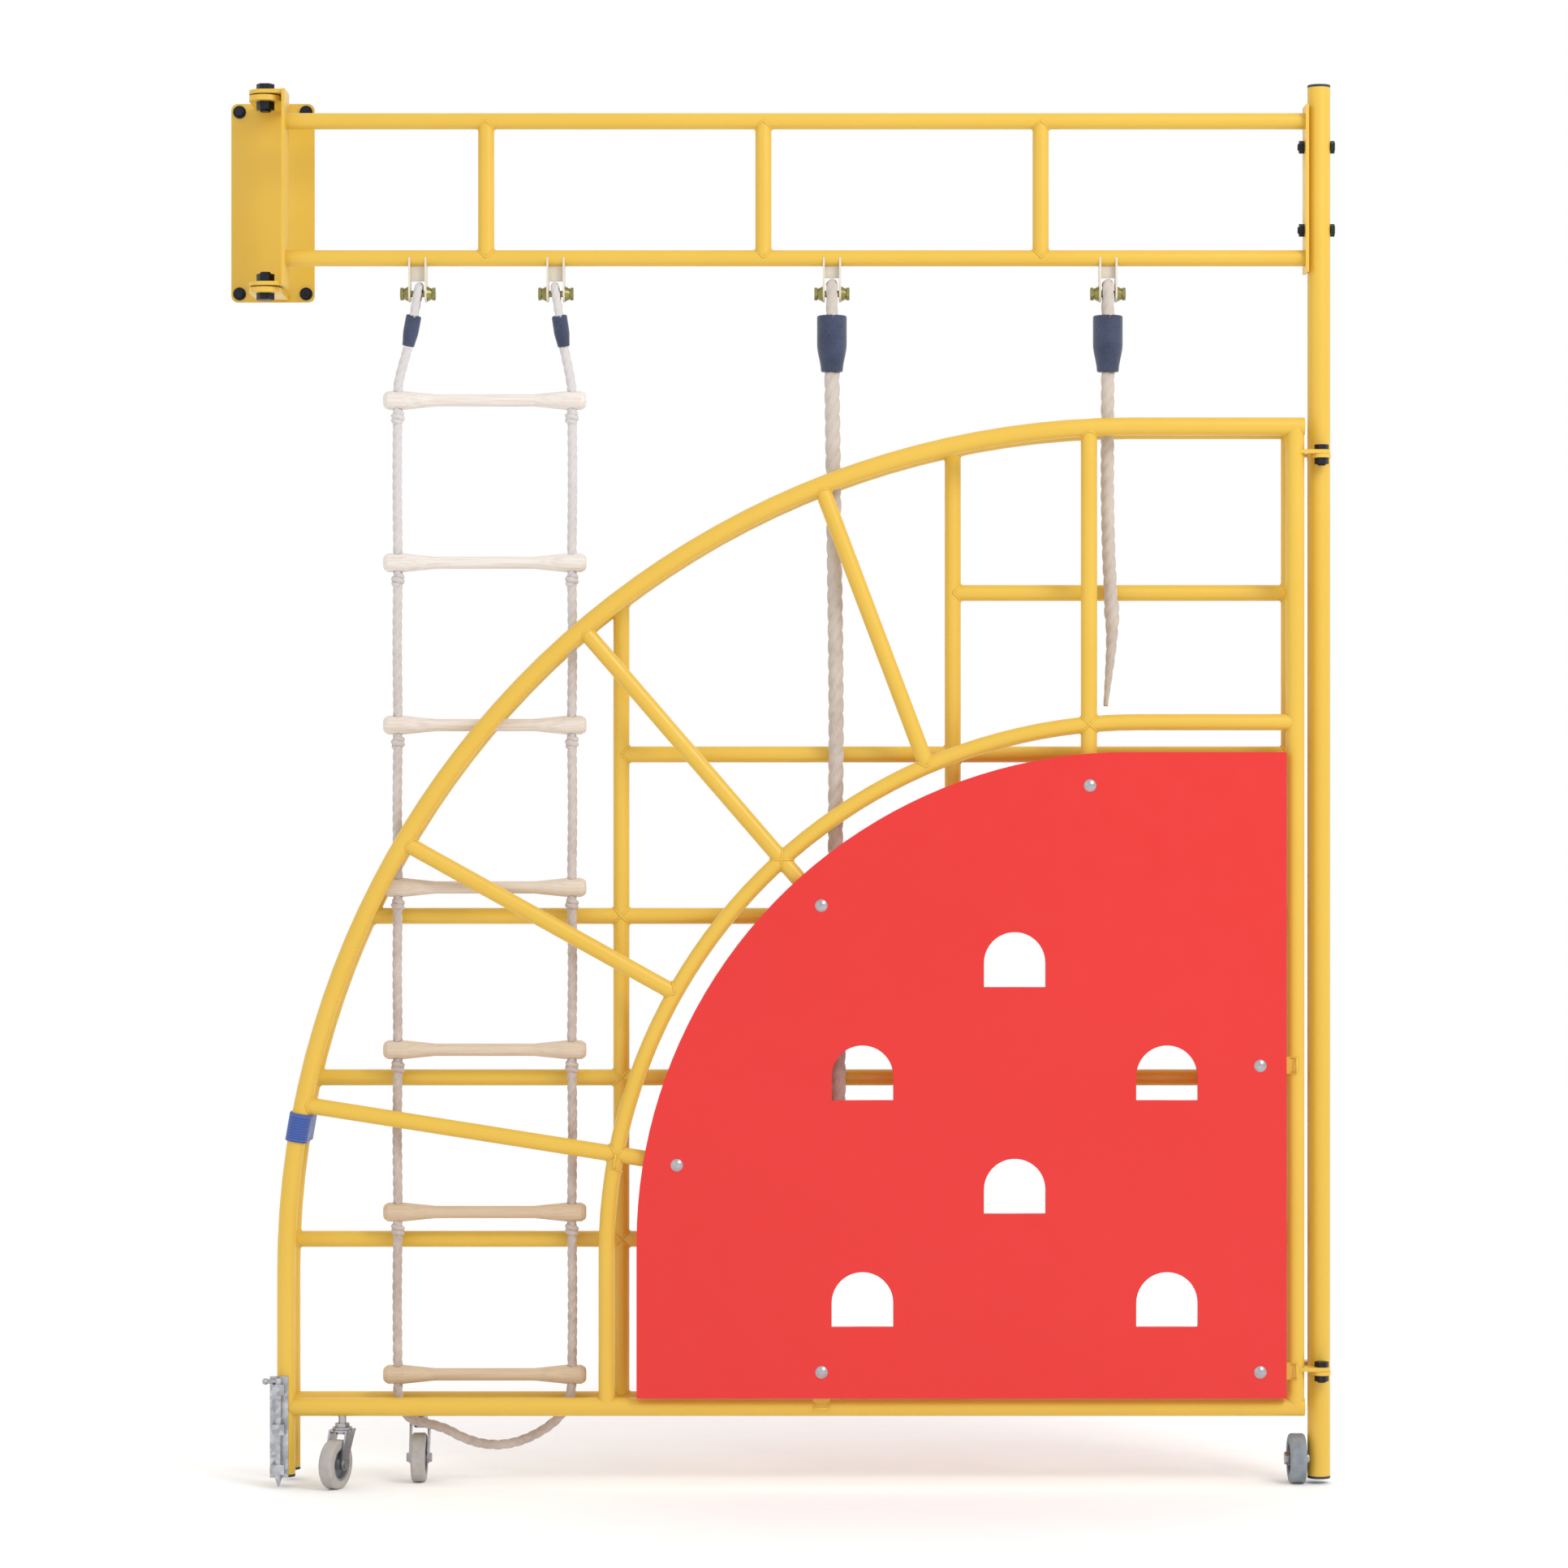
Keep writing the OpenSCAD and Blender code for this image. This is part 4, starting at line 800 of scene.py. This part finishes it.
@dataclass
class Welds:
    """The beads where tubes meet, laid by hand and then coated with the frame.

    Attributes:
        body: the body that they belong to.
        branches: nodes whose solids are welded on at their ends.
        mains: the tubes that they are welded to.
        bead: half the bead's width.
        places: points along one bead.
        ripple: distance from ripple to ripple of a hand-laid bead.
        reach: how far short of the main tube's wall an end may stop and still be welded to it.
        thin: the widest that an upright or level tube's own box can be across.
    """

    body: str
    branches: tuple[str, ...]
    mains: tuple[Tube, ...]
    bead: float = 1.9 * MM
    places: int = 44
    ripple: float = 4 * MM
    reach: float = 6 * MM
    thin: float = 40 * MM

    def build(self) -> bpy.types.Object:
        """Lays every bead.

        Returns:
            All the beads as one object.
        """
        skin, laid = Skin(), 0
        for name in self.branches:
            for solid in islands(name):
                laid += self.weld_ends(skin, solid)
        LOG.info("%s: %d weld beads", self.body, laid)
        return skin.finish(f"{self.body}_weld_beads", YELLOW_COAT, self.body)

    def weld_ends(self, skin: Skin, solid: np.ndarray) -> int:
        """Adds the beads at a straight tube's two ends.

        Args:
            skin: where their mesh goes.
            solid: the tube's points.

        Returns:
            How many ends were on a main tube.
        """
        span = solid.max(0) - solid.min(0)
        middle = (solid.max(0) + solid.min(0)) / 2
        spread = np.linalg.svd(solid - solid.mean(0), full_matrices=False)[2][0]
        ahead = np.eye(3)[span.argmax()] if np.sort(span)[1] < self.thin else unit(spread * (1, 0, 1))
        reach = (solid - middle) @ ahead
        square = (solid - middle) - reach[:, None] * ahead
        radius = float(np.median(np.sort(np.linalg.norm(square, axis=1))[-len(square) // 3 :]))
        laid = 0
        for far, out in ((reach.max(), ahead), (-reach.min(), -ahead)):
            end = middle + out * far
            for main in self.mains:
                foot, along = main.near(end)
                if np.linalg.norm(end - foot) < main.radius + self.reach and abs(out @ along) < 0.9:
                    self.lay(skin, Tube(middle, out, radius), Tube(foot, along, main.radius))
                    laid += 1
                    break
        return laid

    def lay(self, skin: Skin, branch: Tube, main: Tube) -> None:
        """Adds one bead along the line where two straight tubes meet.

        Args:
            skin: where its mesh goes.
            branch: the tube that ends there, heading towards the joint.
            main: the tube that it is welded to.
        """
        out, along = branch.heading, main.heading
        turn = circle(self.places)
        across = unit(np.cross(out, (0.0, 1.0, 0.0)))
        spoke = spokes(across[None], np.cross(out, across)[None], self.places)[0]
        wall = branch.centre + branch.radius * spoke
        start = wall - main.centre
        start -= (start @ along)[:, None] * along
        step = out - along * (out @ along)
        a, b = step @ step, start @ step
        c = (start**2).sum(1) - main.radius**2
        reach = (-b - np.sqrt(np.maximum(b * b - a * c, 0.0))) / a
        line = wall + reach[:, None] * out
        closed = np.vstack([line[-1:], line, line[:1]])
        side = unit(wall - branch.centre - ((wall - branch.centre) @ out)[:, None] * out)
        other = np.cross(unit(closed[2:] - closed[:-2]), side)
        ripples = round(2 * math.pi * branch.radius / self.ripple)
        rippled = self.bead * (1 + 0.13 * np.sin(turn * ripples))
        rings = line[:, None] + rippled[:, None, None] * spokes(side, other, 8)
        skin.sweep(rings, turn * branch.radius, seam(2 * math.pi * self.bead, 8), loop=True)


# ---- Sub-assemblies ----


@dataclass
class Hanger:
    """One hanging point under the beam: where its rope is looped, and how it leans.

    Attributes:
        axis_x: distance of the hanger along the beam, in millimetres.
        lean: how far the rope leans from plumb, in degrees, towards the bracket if above 0.
        strand: radius of the eye's strand, in metres.
        wrap: the wrap's radius at its top and its foot, in metres.
        wrap_length: the wrap's length, in metres.
        bolt_height: height of the bolt's axis above the floor, in millimetres.
        bolt_radius: half the bolt's diameter, in metres.
        slack: gap between the bolt and the eye, in metres.
        wrap_start: distance from the bolt's axis down to the wrap, in metres.
        tuck: how far the eye's ends go into the wrap, in metres.
        groove: depth of the groove between turns of twine, in metres.
        places: points round the wrap.
    """

    axis_x: float
    lean: float
    strand: float
    wrap: Pair
    wrap_length: float
    bolt_height: float = 1831.0
    bolt_radius: float = 5 * MM
    slack: float = 0.5 * MM
    wrap_start: float = 34 * MM
    tuck: float = 4 * MM
    groove: float = 0.42 * MM
    places: int = 44

    def place(self, points: np.ndarray) -> np.ndarray:
        """Moves points given from the hanger's bolt, with the rope running down -Z.

        Args:
            points: the points, in metres.

        Returns:
            The same points in the model's frame.
        """
        turn = math.radians(self.lean)
        leaned = np.array(points, float)
        x, z = leaned[..., 0].copy(), leaned[..., 2].copy()
        leaned[..., 0] = x * math.cos(turn) + z * math.sin(turn)
        leaned[..., 2] = z * math.cos(turn) - x * math.sin(turn)
        return leaned + from_beam([(self.axis_x, 0.0, self.bolt_height)])[0]

    def add_eye(self, skin: Skin) -> None:
        """Adds the strand that goes over the hanger's bolt and back down into the wrap.

        Args:
            skin: where its mesh goes.
        """
        bend = self.bolt_radius + self.strand + self.slack
        turn = np.linspace(0, math.pi, 25)
        arch = np.stack([0 * turn, -bend * np.cos(turn), bend * np.sin(turn)], axis=1)
        foot, throat = -self.wrap_start - self.tuck, self.wrap[0] - self.strand
        waist = bend * 0.6 + throat * 0.4
        front, back = (
            np.array([[0.0, side * throat, foot], [0.0, side * waist, foot / 2]]) for side in (-1, 1)
        )
        line = smooth_line(np.vstack([front, arch, back[::-1]]), 2 * MM)
        Lay(turn=3.4, groove=0.2, places=18).add(skin, self.place(line), self.strand)

    def add_wrap(self, skin: Skin, pitch: float) -> None:
        """Adds the twine bound tightly round the eye's foot.

        Args:
            skin: where its mesh goes.
            pitch: distance from turn to turn of the twine.
        """
        rows = int(self.wrap_length / pitch * 6)
        drop = np.linspace(0, self.wrap_length, rows)
        top, low = self.wrap
        share = np.clip(drop / self.wrap_length * 2 - 1, 0, 1)
        outline = top + (low - top) * share * share * (3 - 2 * share)
        edge = np.minimum(drop, self.wrap_length - drop)
        outline -= 1.2 * MM * np.clip(1 - edge / (2 * MM), 0, 1) ** 2
        turn = circle(self.places)
        phase = np.pi * (drop[:, None] / pitch + turn[None] / (2 * math.pi))
        radius = outline[:, None] - self.groove * (1 - np.abs(np.sin(phase))) ** 1.4
        level = np.repeat(-self.wrap_start - drop[:, None], self.places, axis=1)
        rings = np.stack([radius * np.cos(turn), radius * np.sin(turn), level], axis=2)
        skin.sweep(self.place(rings), drop, seam(2 * math.pi * top, self.places))


@dataclass
class RopeLadder:
    """The rope ladder's soft parts. One rope goes down through the rungs and back up.

    Attributes:
        route: the rope's centreline, in the beam's millimetres.
        hangers: where its two ends hang.
        diameter: the rope's diameter, in metres.
        rungs: number of rungs.
        lowest: height of the lowest rung, in millimetres.
        pitch: height from rung to rung, in millimetres.
        legs: where the rope's two sides hang, in millimetres along the beam.
        knob: diameter of a rung's thick ends, in millimetres.
        knot_height: a knot's height, in millimetres.
        knot_radius: half a knot's width, in metres.
        knot_strand: radius of the strand wound into a knot, in metres.
    """

    route: list[Point]
    hangers: tuple[Hanger, Hanger]
    diameter: float = 15 * MM
    rungs: int = 7
    lowest: float = 167.0
    pitch: float = 250.0
    legs: Pair = (204.0, 472.0)
    knob: float = 29.0
    knot_height: float = 24.0
    knot_radius: float = 11 * MM
    knot_strand: float = 4.6 * MM

    def build(self) -> None:
        line = smooth_line(from_beam(self.route), 3 * MM)
        skin = Skin()
        Lay().add(skin, line, self.diameter / 2)
        rope = skin.finish("ladder_rope_laid", LADDER_FIBRE, "swing_frame", "ladder_rope")
        eyes, wraps = Skin(), Skin()
        for hanger in self.hangers:
            hanger.add_eye(eyes)
            hanger.add_wrap(wraps, 2.6 * MM)
        with_rope = [
            eyes.finish("ladder_rope_eyes", LADDER_FIBRE, "swing_frame", "rope_eyes"),
            wraps.finish("ladder_rope_wraps", NAVY_TWINE, "swing_frame", "rope_wraps"),
            self.knots(),
        ]

    def knots(self) -> bpy.types.Object:
        """Ties a stopper knot under each rung but the lowest, on both sides.

        Returns:
            All the knots as one object.
        """
        skin = Skin()
        share = np.linspace(0, 1, 60)
        wind = (self.knot_radius - self.knot_strand) * (1 - 0.45 * np.abs(2 * share - 1) ** 6)
        drop = (self.knot_height / 2 * MM - self.knot_strand) * (1 - 2 * share)
        for level in range(1, self.rungs):
            turn = 2 * math.pi * 2.1 * share + 0.9 * level
            coil = np.stack([wind * np.cos(turn), wind * np.sin(turn), drop], axis=1)
            height = self.lowest + level * self.pitch - (self.knob + self.knot_height) / 2 - 0.3
            for leg in self.legs:
                line = smooth_line(from_beam([(leg, 0.0, height)])[0] + coil, 2.5 * MM)
                Lay(turn=3.4, groove=0.2, places=15).add(skin, line, self.knot_strand)
        return skin.finish("ladder_stopper_knots", LADDER_FIBRE, "swing_frame", "ladder_knots")


@dataclass
class ClimbingRope:
    """One climbing rope that hangs from the beam in an eye bound with twine.

    Attributes:
        name: what the rope is called, which is also the CAD node that it stands for.
        route: its centreline, in the beam's millimetres.
        hanger: where it hangs.
        diameter: its full diameter, in metres.
        tail: its radius at the very end, in metres, where it tapers.
        taper_from: the route point where the taper starts, or -1 for none.
        taped: whether tape is wound round its end.
    """

    name: str
    route: list[Point]
    hanger: Hanger
    diameter: float
    tail: float = 0.0
    taper_from: int = -1
    taped: bool = False

    def build(self) -> None:
        line = smooth_line(from_beam(self.route), 3.5 * MM)
        run = travelled(line)
        full = self.diameter / 2
        change = np.zeros(len(line))
        if self.taper_from >= 0:
            start = travelled(smooth_line(from_beam(self.route[: self.taper_from + 1]), 1 * MM))[-1]
            share = np.clip((run - start) / (run[-1] - start), 0, 1)
            change += (self.tail - full) * share
            # The splice's tucked strands swell the rope just above its thin tail
            change += 1.6 * MM * np.exp(-(((run - start + 14 * MM) / (16 * MM)) ** 2))
        skin = Skin()
        Lay(places=27).add(skin, line, full, change)
        rope = skin.finish(f"{self.name}_laid", ROPE_FIBRE, "swing_frame", self.name)
        eye, wrap = Skin(), Skin()
        self.hanger.add_eye(eye)
        self.hanger.add_wrap(wrap, 3.2 * MM)
        pieces = [
            eye.finish(f"{self.name}_eye", ROPE_FIBRE, "swing_frame", "rope_eyes"),
            wrap.finish(f"{self.name}_wrap", NAVY_TWINE, "swing_frame", "rope_wraps"),
        ]
        if self.taped:
            pieces.append(self.tape(line, full))
        LOG.info("%s: %.2f m", self.name, run[-1])

    def tape(self, line: Line, full: float) -> bpy.types.Object:
        """Winds tape round the rope's cut end to keep its strands together.

        Args:
            line: the rope's centreline.
            full: the rope's radius.

        Returns:
            The tape.
        """
        ahead = unit(line[-1] - line[-4])
        reach = np.concatenate([np.linspace(-22, -1.6, 30), [-0.8, -0.3, 0.0]]) * MM
        layer = full + 0.25 * MM * (1 + np.sign(np.sin(reach / MM * 0.9)) * 0.5)
        layer[-3:] = full * np.array([0.99, 0.9, 0.6])
        skin = Skin()
        rings = round_rings(line[-1] + reach[:, None] * ahead, layer, 30)
        skin.sweep(rings, reach, seam(2 * math.pi * full, 30))
        return skin.finish(f"{self.name}_end_tape", TAPE, "swing_frame")


@dataclass
class TieStrap:
    """The webbing strap that ties the folded leaves together.

    It is sewn round the front leaf's outer tube, and its two tails reach back past the back leaf.

    Attributes:
        arc_centre: centre of the tube's arc, along the beam and above the floor, in millimetres.
        arc_radius: the arc's radius, in millimetres.
        plane: the front leaf's distance from the beam's plane, in millimetres.
        height: height of its middle above the floor, in millimetres.
        width: the webbing's width, in metres.
        thick: its thickness, in metres.
        ring: radius of the loop's inner face, in metres.
        tail: how far its tails reach back from the tube's axis, in metres.
    """

    arc_centre: Pair = (1331.0, 329.0)
    arc_radius: float = 1295.0
    plane: float = -34.0
    height: float = 550.0
    width: float = 44 * MM
    thick: float = 2.2 * MM
    ring: float = 14.9 * MM
    tail: float = 76 * MM

    def place(self, points: np.ndarray) -> np.ndarray:
        """Moves points given from the tube's axis, with Z along the tube.

        Args:
            points: the points, in metres.

        Returns:
            The same points in the model's frame.
        """
        slope = math.asin((self.height - self.arc_centre[1]) / self.arc_radius)
        rise, run = math.sin(slope), math.cos(slope)
        x, y, z = points[..., 0], points[..., 1], points[..., 2]
        leaned = np.stack([x * run + z * rise, y, z * run - x * rise], axis=-1)
        across = self.arc_centre[0] - self.arc_radius * run
        return leaned + from_beam([(across, self.plane, self.height)])[0]

    def band(self, skin: Skin, line: Line, width: float, thick: float) -> None:
        """Adds a length of webbing on edge: flat faces and rounded selvedges.

        Args:
            skin: where its mesh goes.
            line: its middle line, as X and Y from the tube's axis.
            width: its width.
            thick: its thickness.
        """
        flat = np.column_stack([line, np.zeros(len(line))])
        heading = unit(np.gradient(flat, axis=0))
        face = np.stack([-heading[:, 1], heading[:, 0], np.zeros(len(line))], axis=1)
        inset = thick / 2
        rim = np.linspace(-math.pi / 2, math.pi / 2, 5)
        side, bulge = np.sin(rim) * inset, width / 2 - inset + np.cos(rim) * inset
        fills = np.linspace(-width / 2 + inset, width / 2 - inset, 10)[1:-1]
        out = np.concatenate([np.full(8, inset), -side, np.full(8, -inset), side])
        up = np.concatenate([fills, bulge, fills[::-1], -bulge])
        rings = flat[:, None] + out[None, :, None] * face[:, None]
        rings[..., 2] += up
        skin.sweep(self.place(rings), travelled(line), np.append(up, up[0]) + width)

    def outline(self, gap: float) -> Line:
        """Returns the strap's path from one tail, round the front of the tube, to the other.

        Args:
            gap: distance from the ring's inner face to the path.

        Returns:
            Points as X and Y from the tube's axis.
        """
        reach = self.ring + gap
        turn = np.linspace(math.pi, 2 * math.pi, 40)
        arch = np.stack([reach * np.cos(turn), reach * np.sin(turn)], axis=1)
        back = np.linspace(self.tail, 4 * MM, 24)
        sway = 0.35 * MM * np.sin(back / (9 * MM))
        left = np.stack([-reach + sway * (back > 30 * MM), back], axis=1)
        right = np.stack([reach + sway * (back > 30 * MM), back], axis=1)[::-1]
        return np.vstack([left, arch, right])

    def build(self) -> None:
        """Builds the webbing, its sewn closure behind the tube, its hems and its stitches."""
        skin = Skin()
        self.band(skin, self.outline(self.thick / 2), self.width, self.thick)
        across = np.linspace(-self.ring, self.ring, 12)
        back = self.ring + 1.2 * MM - 0.5 * MM * np.cos(across / self.ring * math.pi / 2)
        closing = np.stack([across, back], axis=1)
        self.band(skin, closing, self.width * 0.98, self.thick)
        skin.finish("tie_strap_webbing", BLUE_WEBBING, "front_leaf", "tie_strap")
        self.stitches().finish("tie_strap_stitches", STITCH_THREAD, "front_leaf")

    def stitches(self) -> Skin:
        """Sews a row along each selvedge, and two rows across each tail's hem.

        Returns:
            The thread's mesh.
        """
        skin = Skin()
        path = self.outline(self.thick)
        run = travelled(path)
        pitch, edge = 4.2 * MM, self.width / 2 - 3.5 * MM
        for up in (-edge, edge):
            for start in np.arange(1.5 * MM, run[-1] - 1.5 * MM, pitch):
                stops = np.linspace(start, start + 2.9 * MM, 4)
                flat = np.stack([np.interp(stops, run, path[:, k]) for k in range(2)], axis=1)
                self.stitch(skin, np.column_stack([flat, np.full(4, up)]))
        for side in (-1, 1):
            for back in (self.tail - 4 * MM, self.tail - 12 * MM):
                for up in np.arange(-15 * MM, 14 * MM, pitch):
                    x = side * (self.ring + self.thick)
                    line = [(x, back, up + k * MM) for k in (0.0, 0.9, 1.9, 2.8)]
                    self.stitch(skin, np.array(line))
        return skin

    def stitch(self, skin: Skin, line: Line) -> None:
        """Adds one stitch, sunk at both ends.

        Args:
            skin: where its mesh goes.
            line: its middle line, from the tube's axis.
        """
        line = self.place(line)
        radius = np.array([0.25, 0.5, 0.5, 0.25]) * MM
        skin.sweep(round_rings(line, radius, 6), travelled(line), seam(3 * MM, 6))


@dataclass
class Studio:
    """The camera, the nearly white floor and the soft light.

    Attributes:
        camera_at: where the camera stands.
        view_angle: its angle of view, in degrees.
        floor_level: height of the floor.
        floor_radius: the floor's radius.
        aim: what the lights point at.
    """

    camera_at: Point = (0.79875, -6.6, -0.90775)
    view_angle: float = 21.05
    floor_level: float = -MOUNT_HEIGHT
    floor_radius: float = 9.0
    aim: Point = (0.8, 0.0, -0.9)

    def camera(self) -> None:
        """Sets up the camera, level and square to the beam."""
        data = bpy.data.cameras.new("front_camera")
        data.sensor_width = 36.0
        data.lens = 18.0 / math.tan(math.radians(self.view_angle / 2))
        camera = bpy.data.objects.new("front_camera", data)
        camera.location = self.camera_at
        camera.rotation_euler = (math.pi / 2, 0.0, 0.0)
        bpy.context.scene.collection.objects.link(camera)
        bpy.context.scene.camera = camera

    def floor(self) -> None:
        """Lays a wide round floor of matt, nearly white paint."""
        turn = circle(96)
        x, y = self.aim[0] + self.floor_radius * np.cos(turn), self.floor_radius * np.sin(turn)
        rim = np.stack([x, y, np.full(len(turn), self.floor_level)], axis=1)
        mesh = bpy.data.meshes.new("studio_floor")
        mesh.from_pydata(rim.tolist(), [], [tuple(range(len(turn)))])
        floor = bpy.data.objects.new("studio_floor", mesh)
        bpy.context.scene.collection.objects.link(floor)
        paint = Moulded("matt_white_floor_paint", "", "#FFFFFF", "#FDFDFD", 0.95, 0.0, 4 * MM)
        floor.data.materials.append(paint.material())

    def lights(self) -> None:
        """Hangs one large key from the upper right, a weak fill from the left, and a white sky."""
        world = bpy.data.worlds.new("white_studio")
        world.use_nodes = True
        sky = world.node_tree.nodes["Background"]
        sky.inputs["Color"].default_value = linear("#FFFFFF")
        sky.inputs["Strength"].default_value = 1.0
        bpy.context.scene.world = world
        for name, place, size, power in (
            ("key_light", (3.6, -3.4, 2.2), 2.2, 95.0),
            ("fill_light", (-2.6, -4.0, 0.6), 3.0, 8.0),
        ):
            data = bpy.data.lights.new(name, "AREA")
            data.shape, data.size, data.energy = "DISK", size, power
            light = bpy.data.objects.new(name, data)
            light.location = place
            ahead = Vector(self.aim) - Vector(place)
            light.rotation_euler = ahead.to_track_quat("-Z", "Y").to_euler()
            bpy.context.scene.collection.objects.link(light)
        bpy.context.scene.view_settings.view_transform = "Standard"


# ---- This object ----


def ladder_leg(x: int, sway: int) -> list[Point]:
    """Returns one leg of the ladder's rope, from the top rung down.

    Args:
        x: where it passes the rungs.
        sway: how far it is off that line halfway from rung to rung.

    Returns:
        Points in the beam's millimetres.
    """
    return [(x + sway * (i % 2), 0, 1667 - 125 * i - 2 * (i % 2)) for i in range(13)]


LADDER_ROUTE = [
    (219.3, 0, 1748), (206, 0, 1698), *ladder_leg(204, -1), (205, 0, 134), (213, 0, 110), (231, 0, 96),
    (256, 0, 90), (280, 0, 82), (304, 0, 70), (332, 0, 61), (364, 0, 59), (396, 0, 66), (430, 0, 83),
    (456, 0, 106), (469, 0, 134), *ladder_leg(472, 1)[::-1], (470, 0, 1698), (459.7, 0, 1749),
]  # fmt: skip
CLIMBING_ROUTE = [
    (872.5, 0, 1710), (874, 0, 1600), (876, 0, 1450), (878, 0, 1300), (879, 0, 1150),
    (878, 0, 1000), (879, 0, 850), (881, 0, 720), (882, 0, 630), (882, 0, 546),
]  # fmt: skip
TAPERED_ROUTE = [
    (1297.5, 0, 1710), (1297, 0, 1620), (1297, 0, 1520), (1299, 0, 1430), (1302, 0, 1370),
    (1304, 0, 1330), (1303, 0, 1290), (1299, 0, 1245), (1294, 0, 1196),
]  # fmt: skip


def tube(
    x: float, z: float, plane: float, diameter: float, heading: np.ndarray, bend: float = 0.0
) -> Tube:
    """Describes a main tube from the beam's millimetres.

    Args:
        x: distance along the beam of a point on its axis, or of its arc's centre.
        z: that point's height above the floor.
        plane: its distance behind the beam's plane.
        diameter: its diameter.
        heading: its direction, which an arc doesn't use.
        bend: its arc's radius, or 0 for a straight tube.

    Returns:
        The tube, in metres.
    """
    return Tube(from_beam([(x, plane, z)])[0], heading, diameter / 2 * MM, bend * MM)


def weld_sets() -> list[Welds]:
    """Names the tubes that meet on the beam and on both leaves.

    Returns:
        The welds of the beam, the front leaf and the back leaf.
    """
    along, up = np.array([1.0, 0.0, 0.0]), np.array([0.0, 0.0, 1.0])
    beam = tuple(tube(0, level, 0, 25, along) for level in (2097, 1886))
    front, back = (
        (
            tube(1582, 900, plane, 28, up),
            tube(800, 122, plane, 28, along),
            tube(1331, 329, plane, 28, up, 1295),
        )
        for plane in (-34, 34)
    )
    front += (tube(1342, 356, -34, 25, up, 815), tube(1400, 1171, -34, 25, along))
    back += (tube(547, 900, 34, 25, up), tube(1060, 900, 34, 25, up))
    return [
        Welds("swing_frame", ("beam_struts",), beam),
        Welds("front_leaf", ("front_spokes", "panel_stubs"), front),
        Welds("back_leaf", ("back_rungs", "back_uprights"), back),
    ]


def main() -> None:
    """Builds the camera and ropes first, then the strap, the welds, the finishes and the studio."""
    studio = Studio()
    studio.camera()
    hang = {"strand": 6.5 * MM, "wrap": (12 * MM, 9.5 * MM), "wrap_length": 48 * MM}
    thick = {"strand": 9 * MM, "wrap": (23 * MM, 17 * MM), "wrap_length": 86 * MM}
    RopeLadder(LADDER_ROUTE, (Hanger(235.0, 10.7, **hang), Hanger(447.5, -8.5, **hang))).build()
    full, tapered = Hanger(872.5, 0.0, **thick), Hanger(1297.5, 0.0, **thick)
    ClimbingRope("climbing_rope", CLIMBING_ROUTE, full, 24 * MM, taped=True).build()
    ClimbingRope("tapered_rope", TAPERED_ROUTE, tapered, 21 * MM, 3.5 * MM, 5).build()
    TieStrap().build()
    for welds in weld_sets():
        welds.build()
    for group in Dress:
        group.apply()
    studio.floor()
    studio.lights()
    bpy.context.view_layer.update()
    LOG.info("sizes written")


if __name__ == "__main__":
    main()
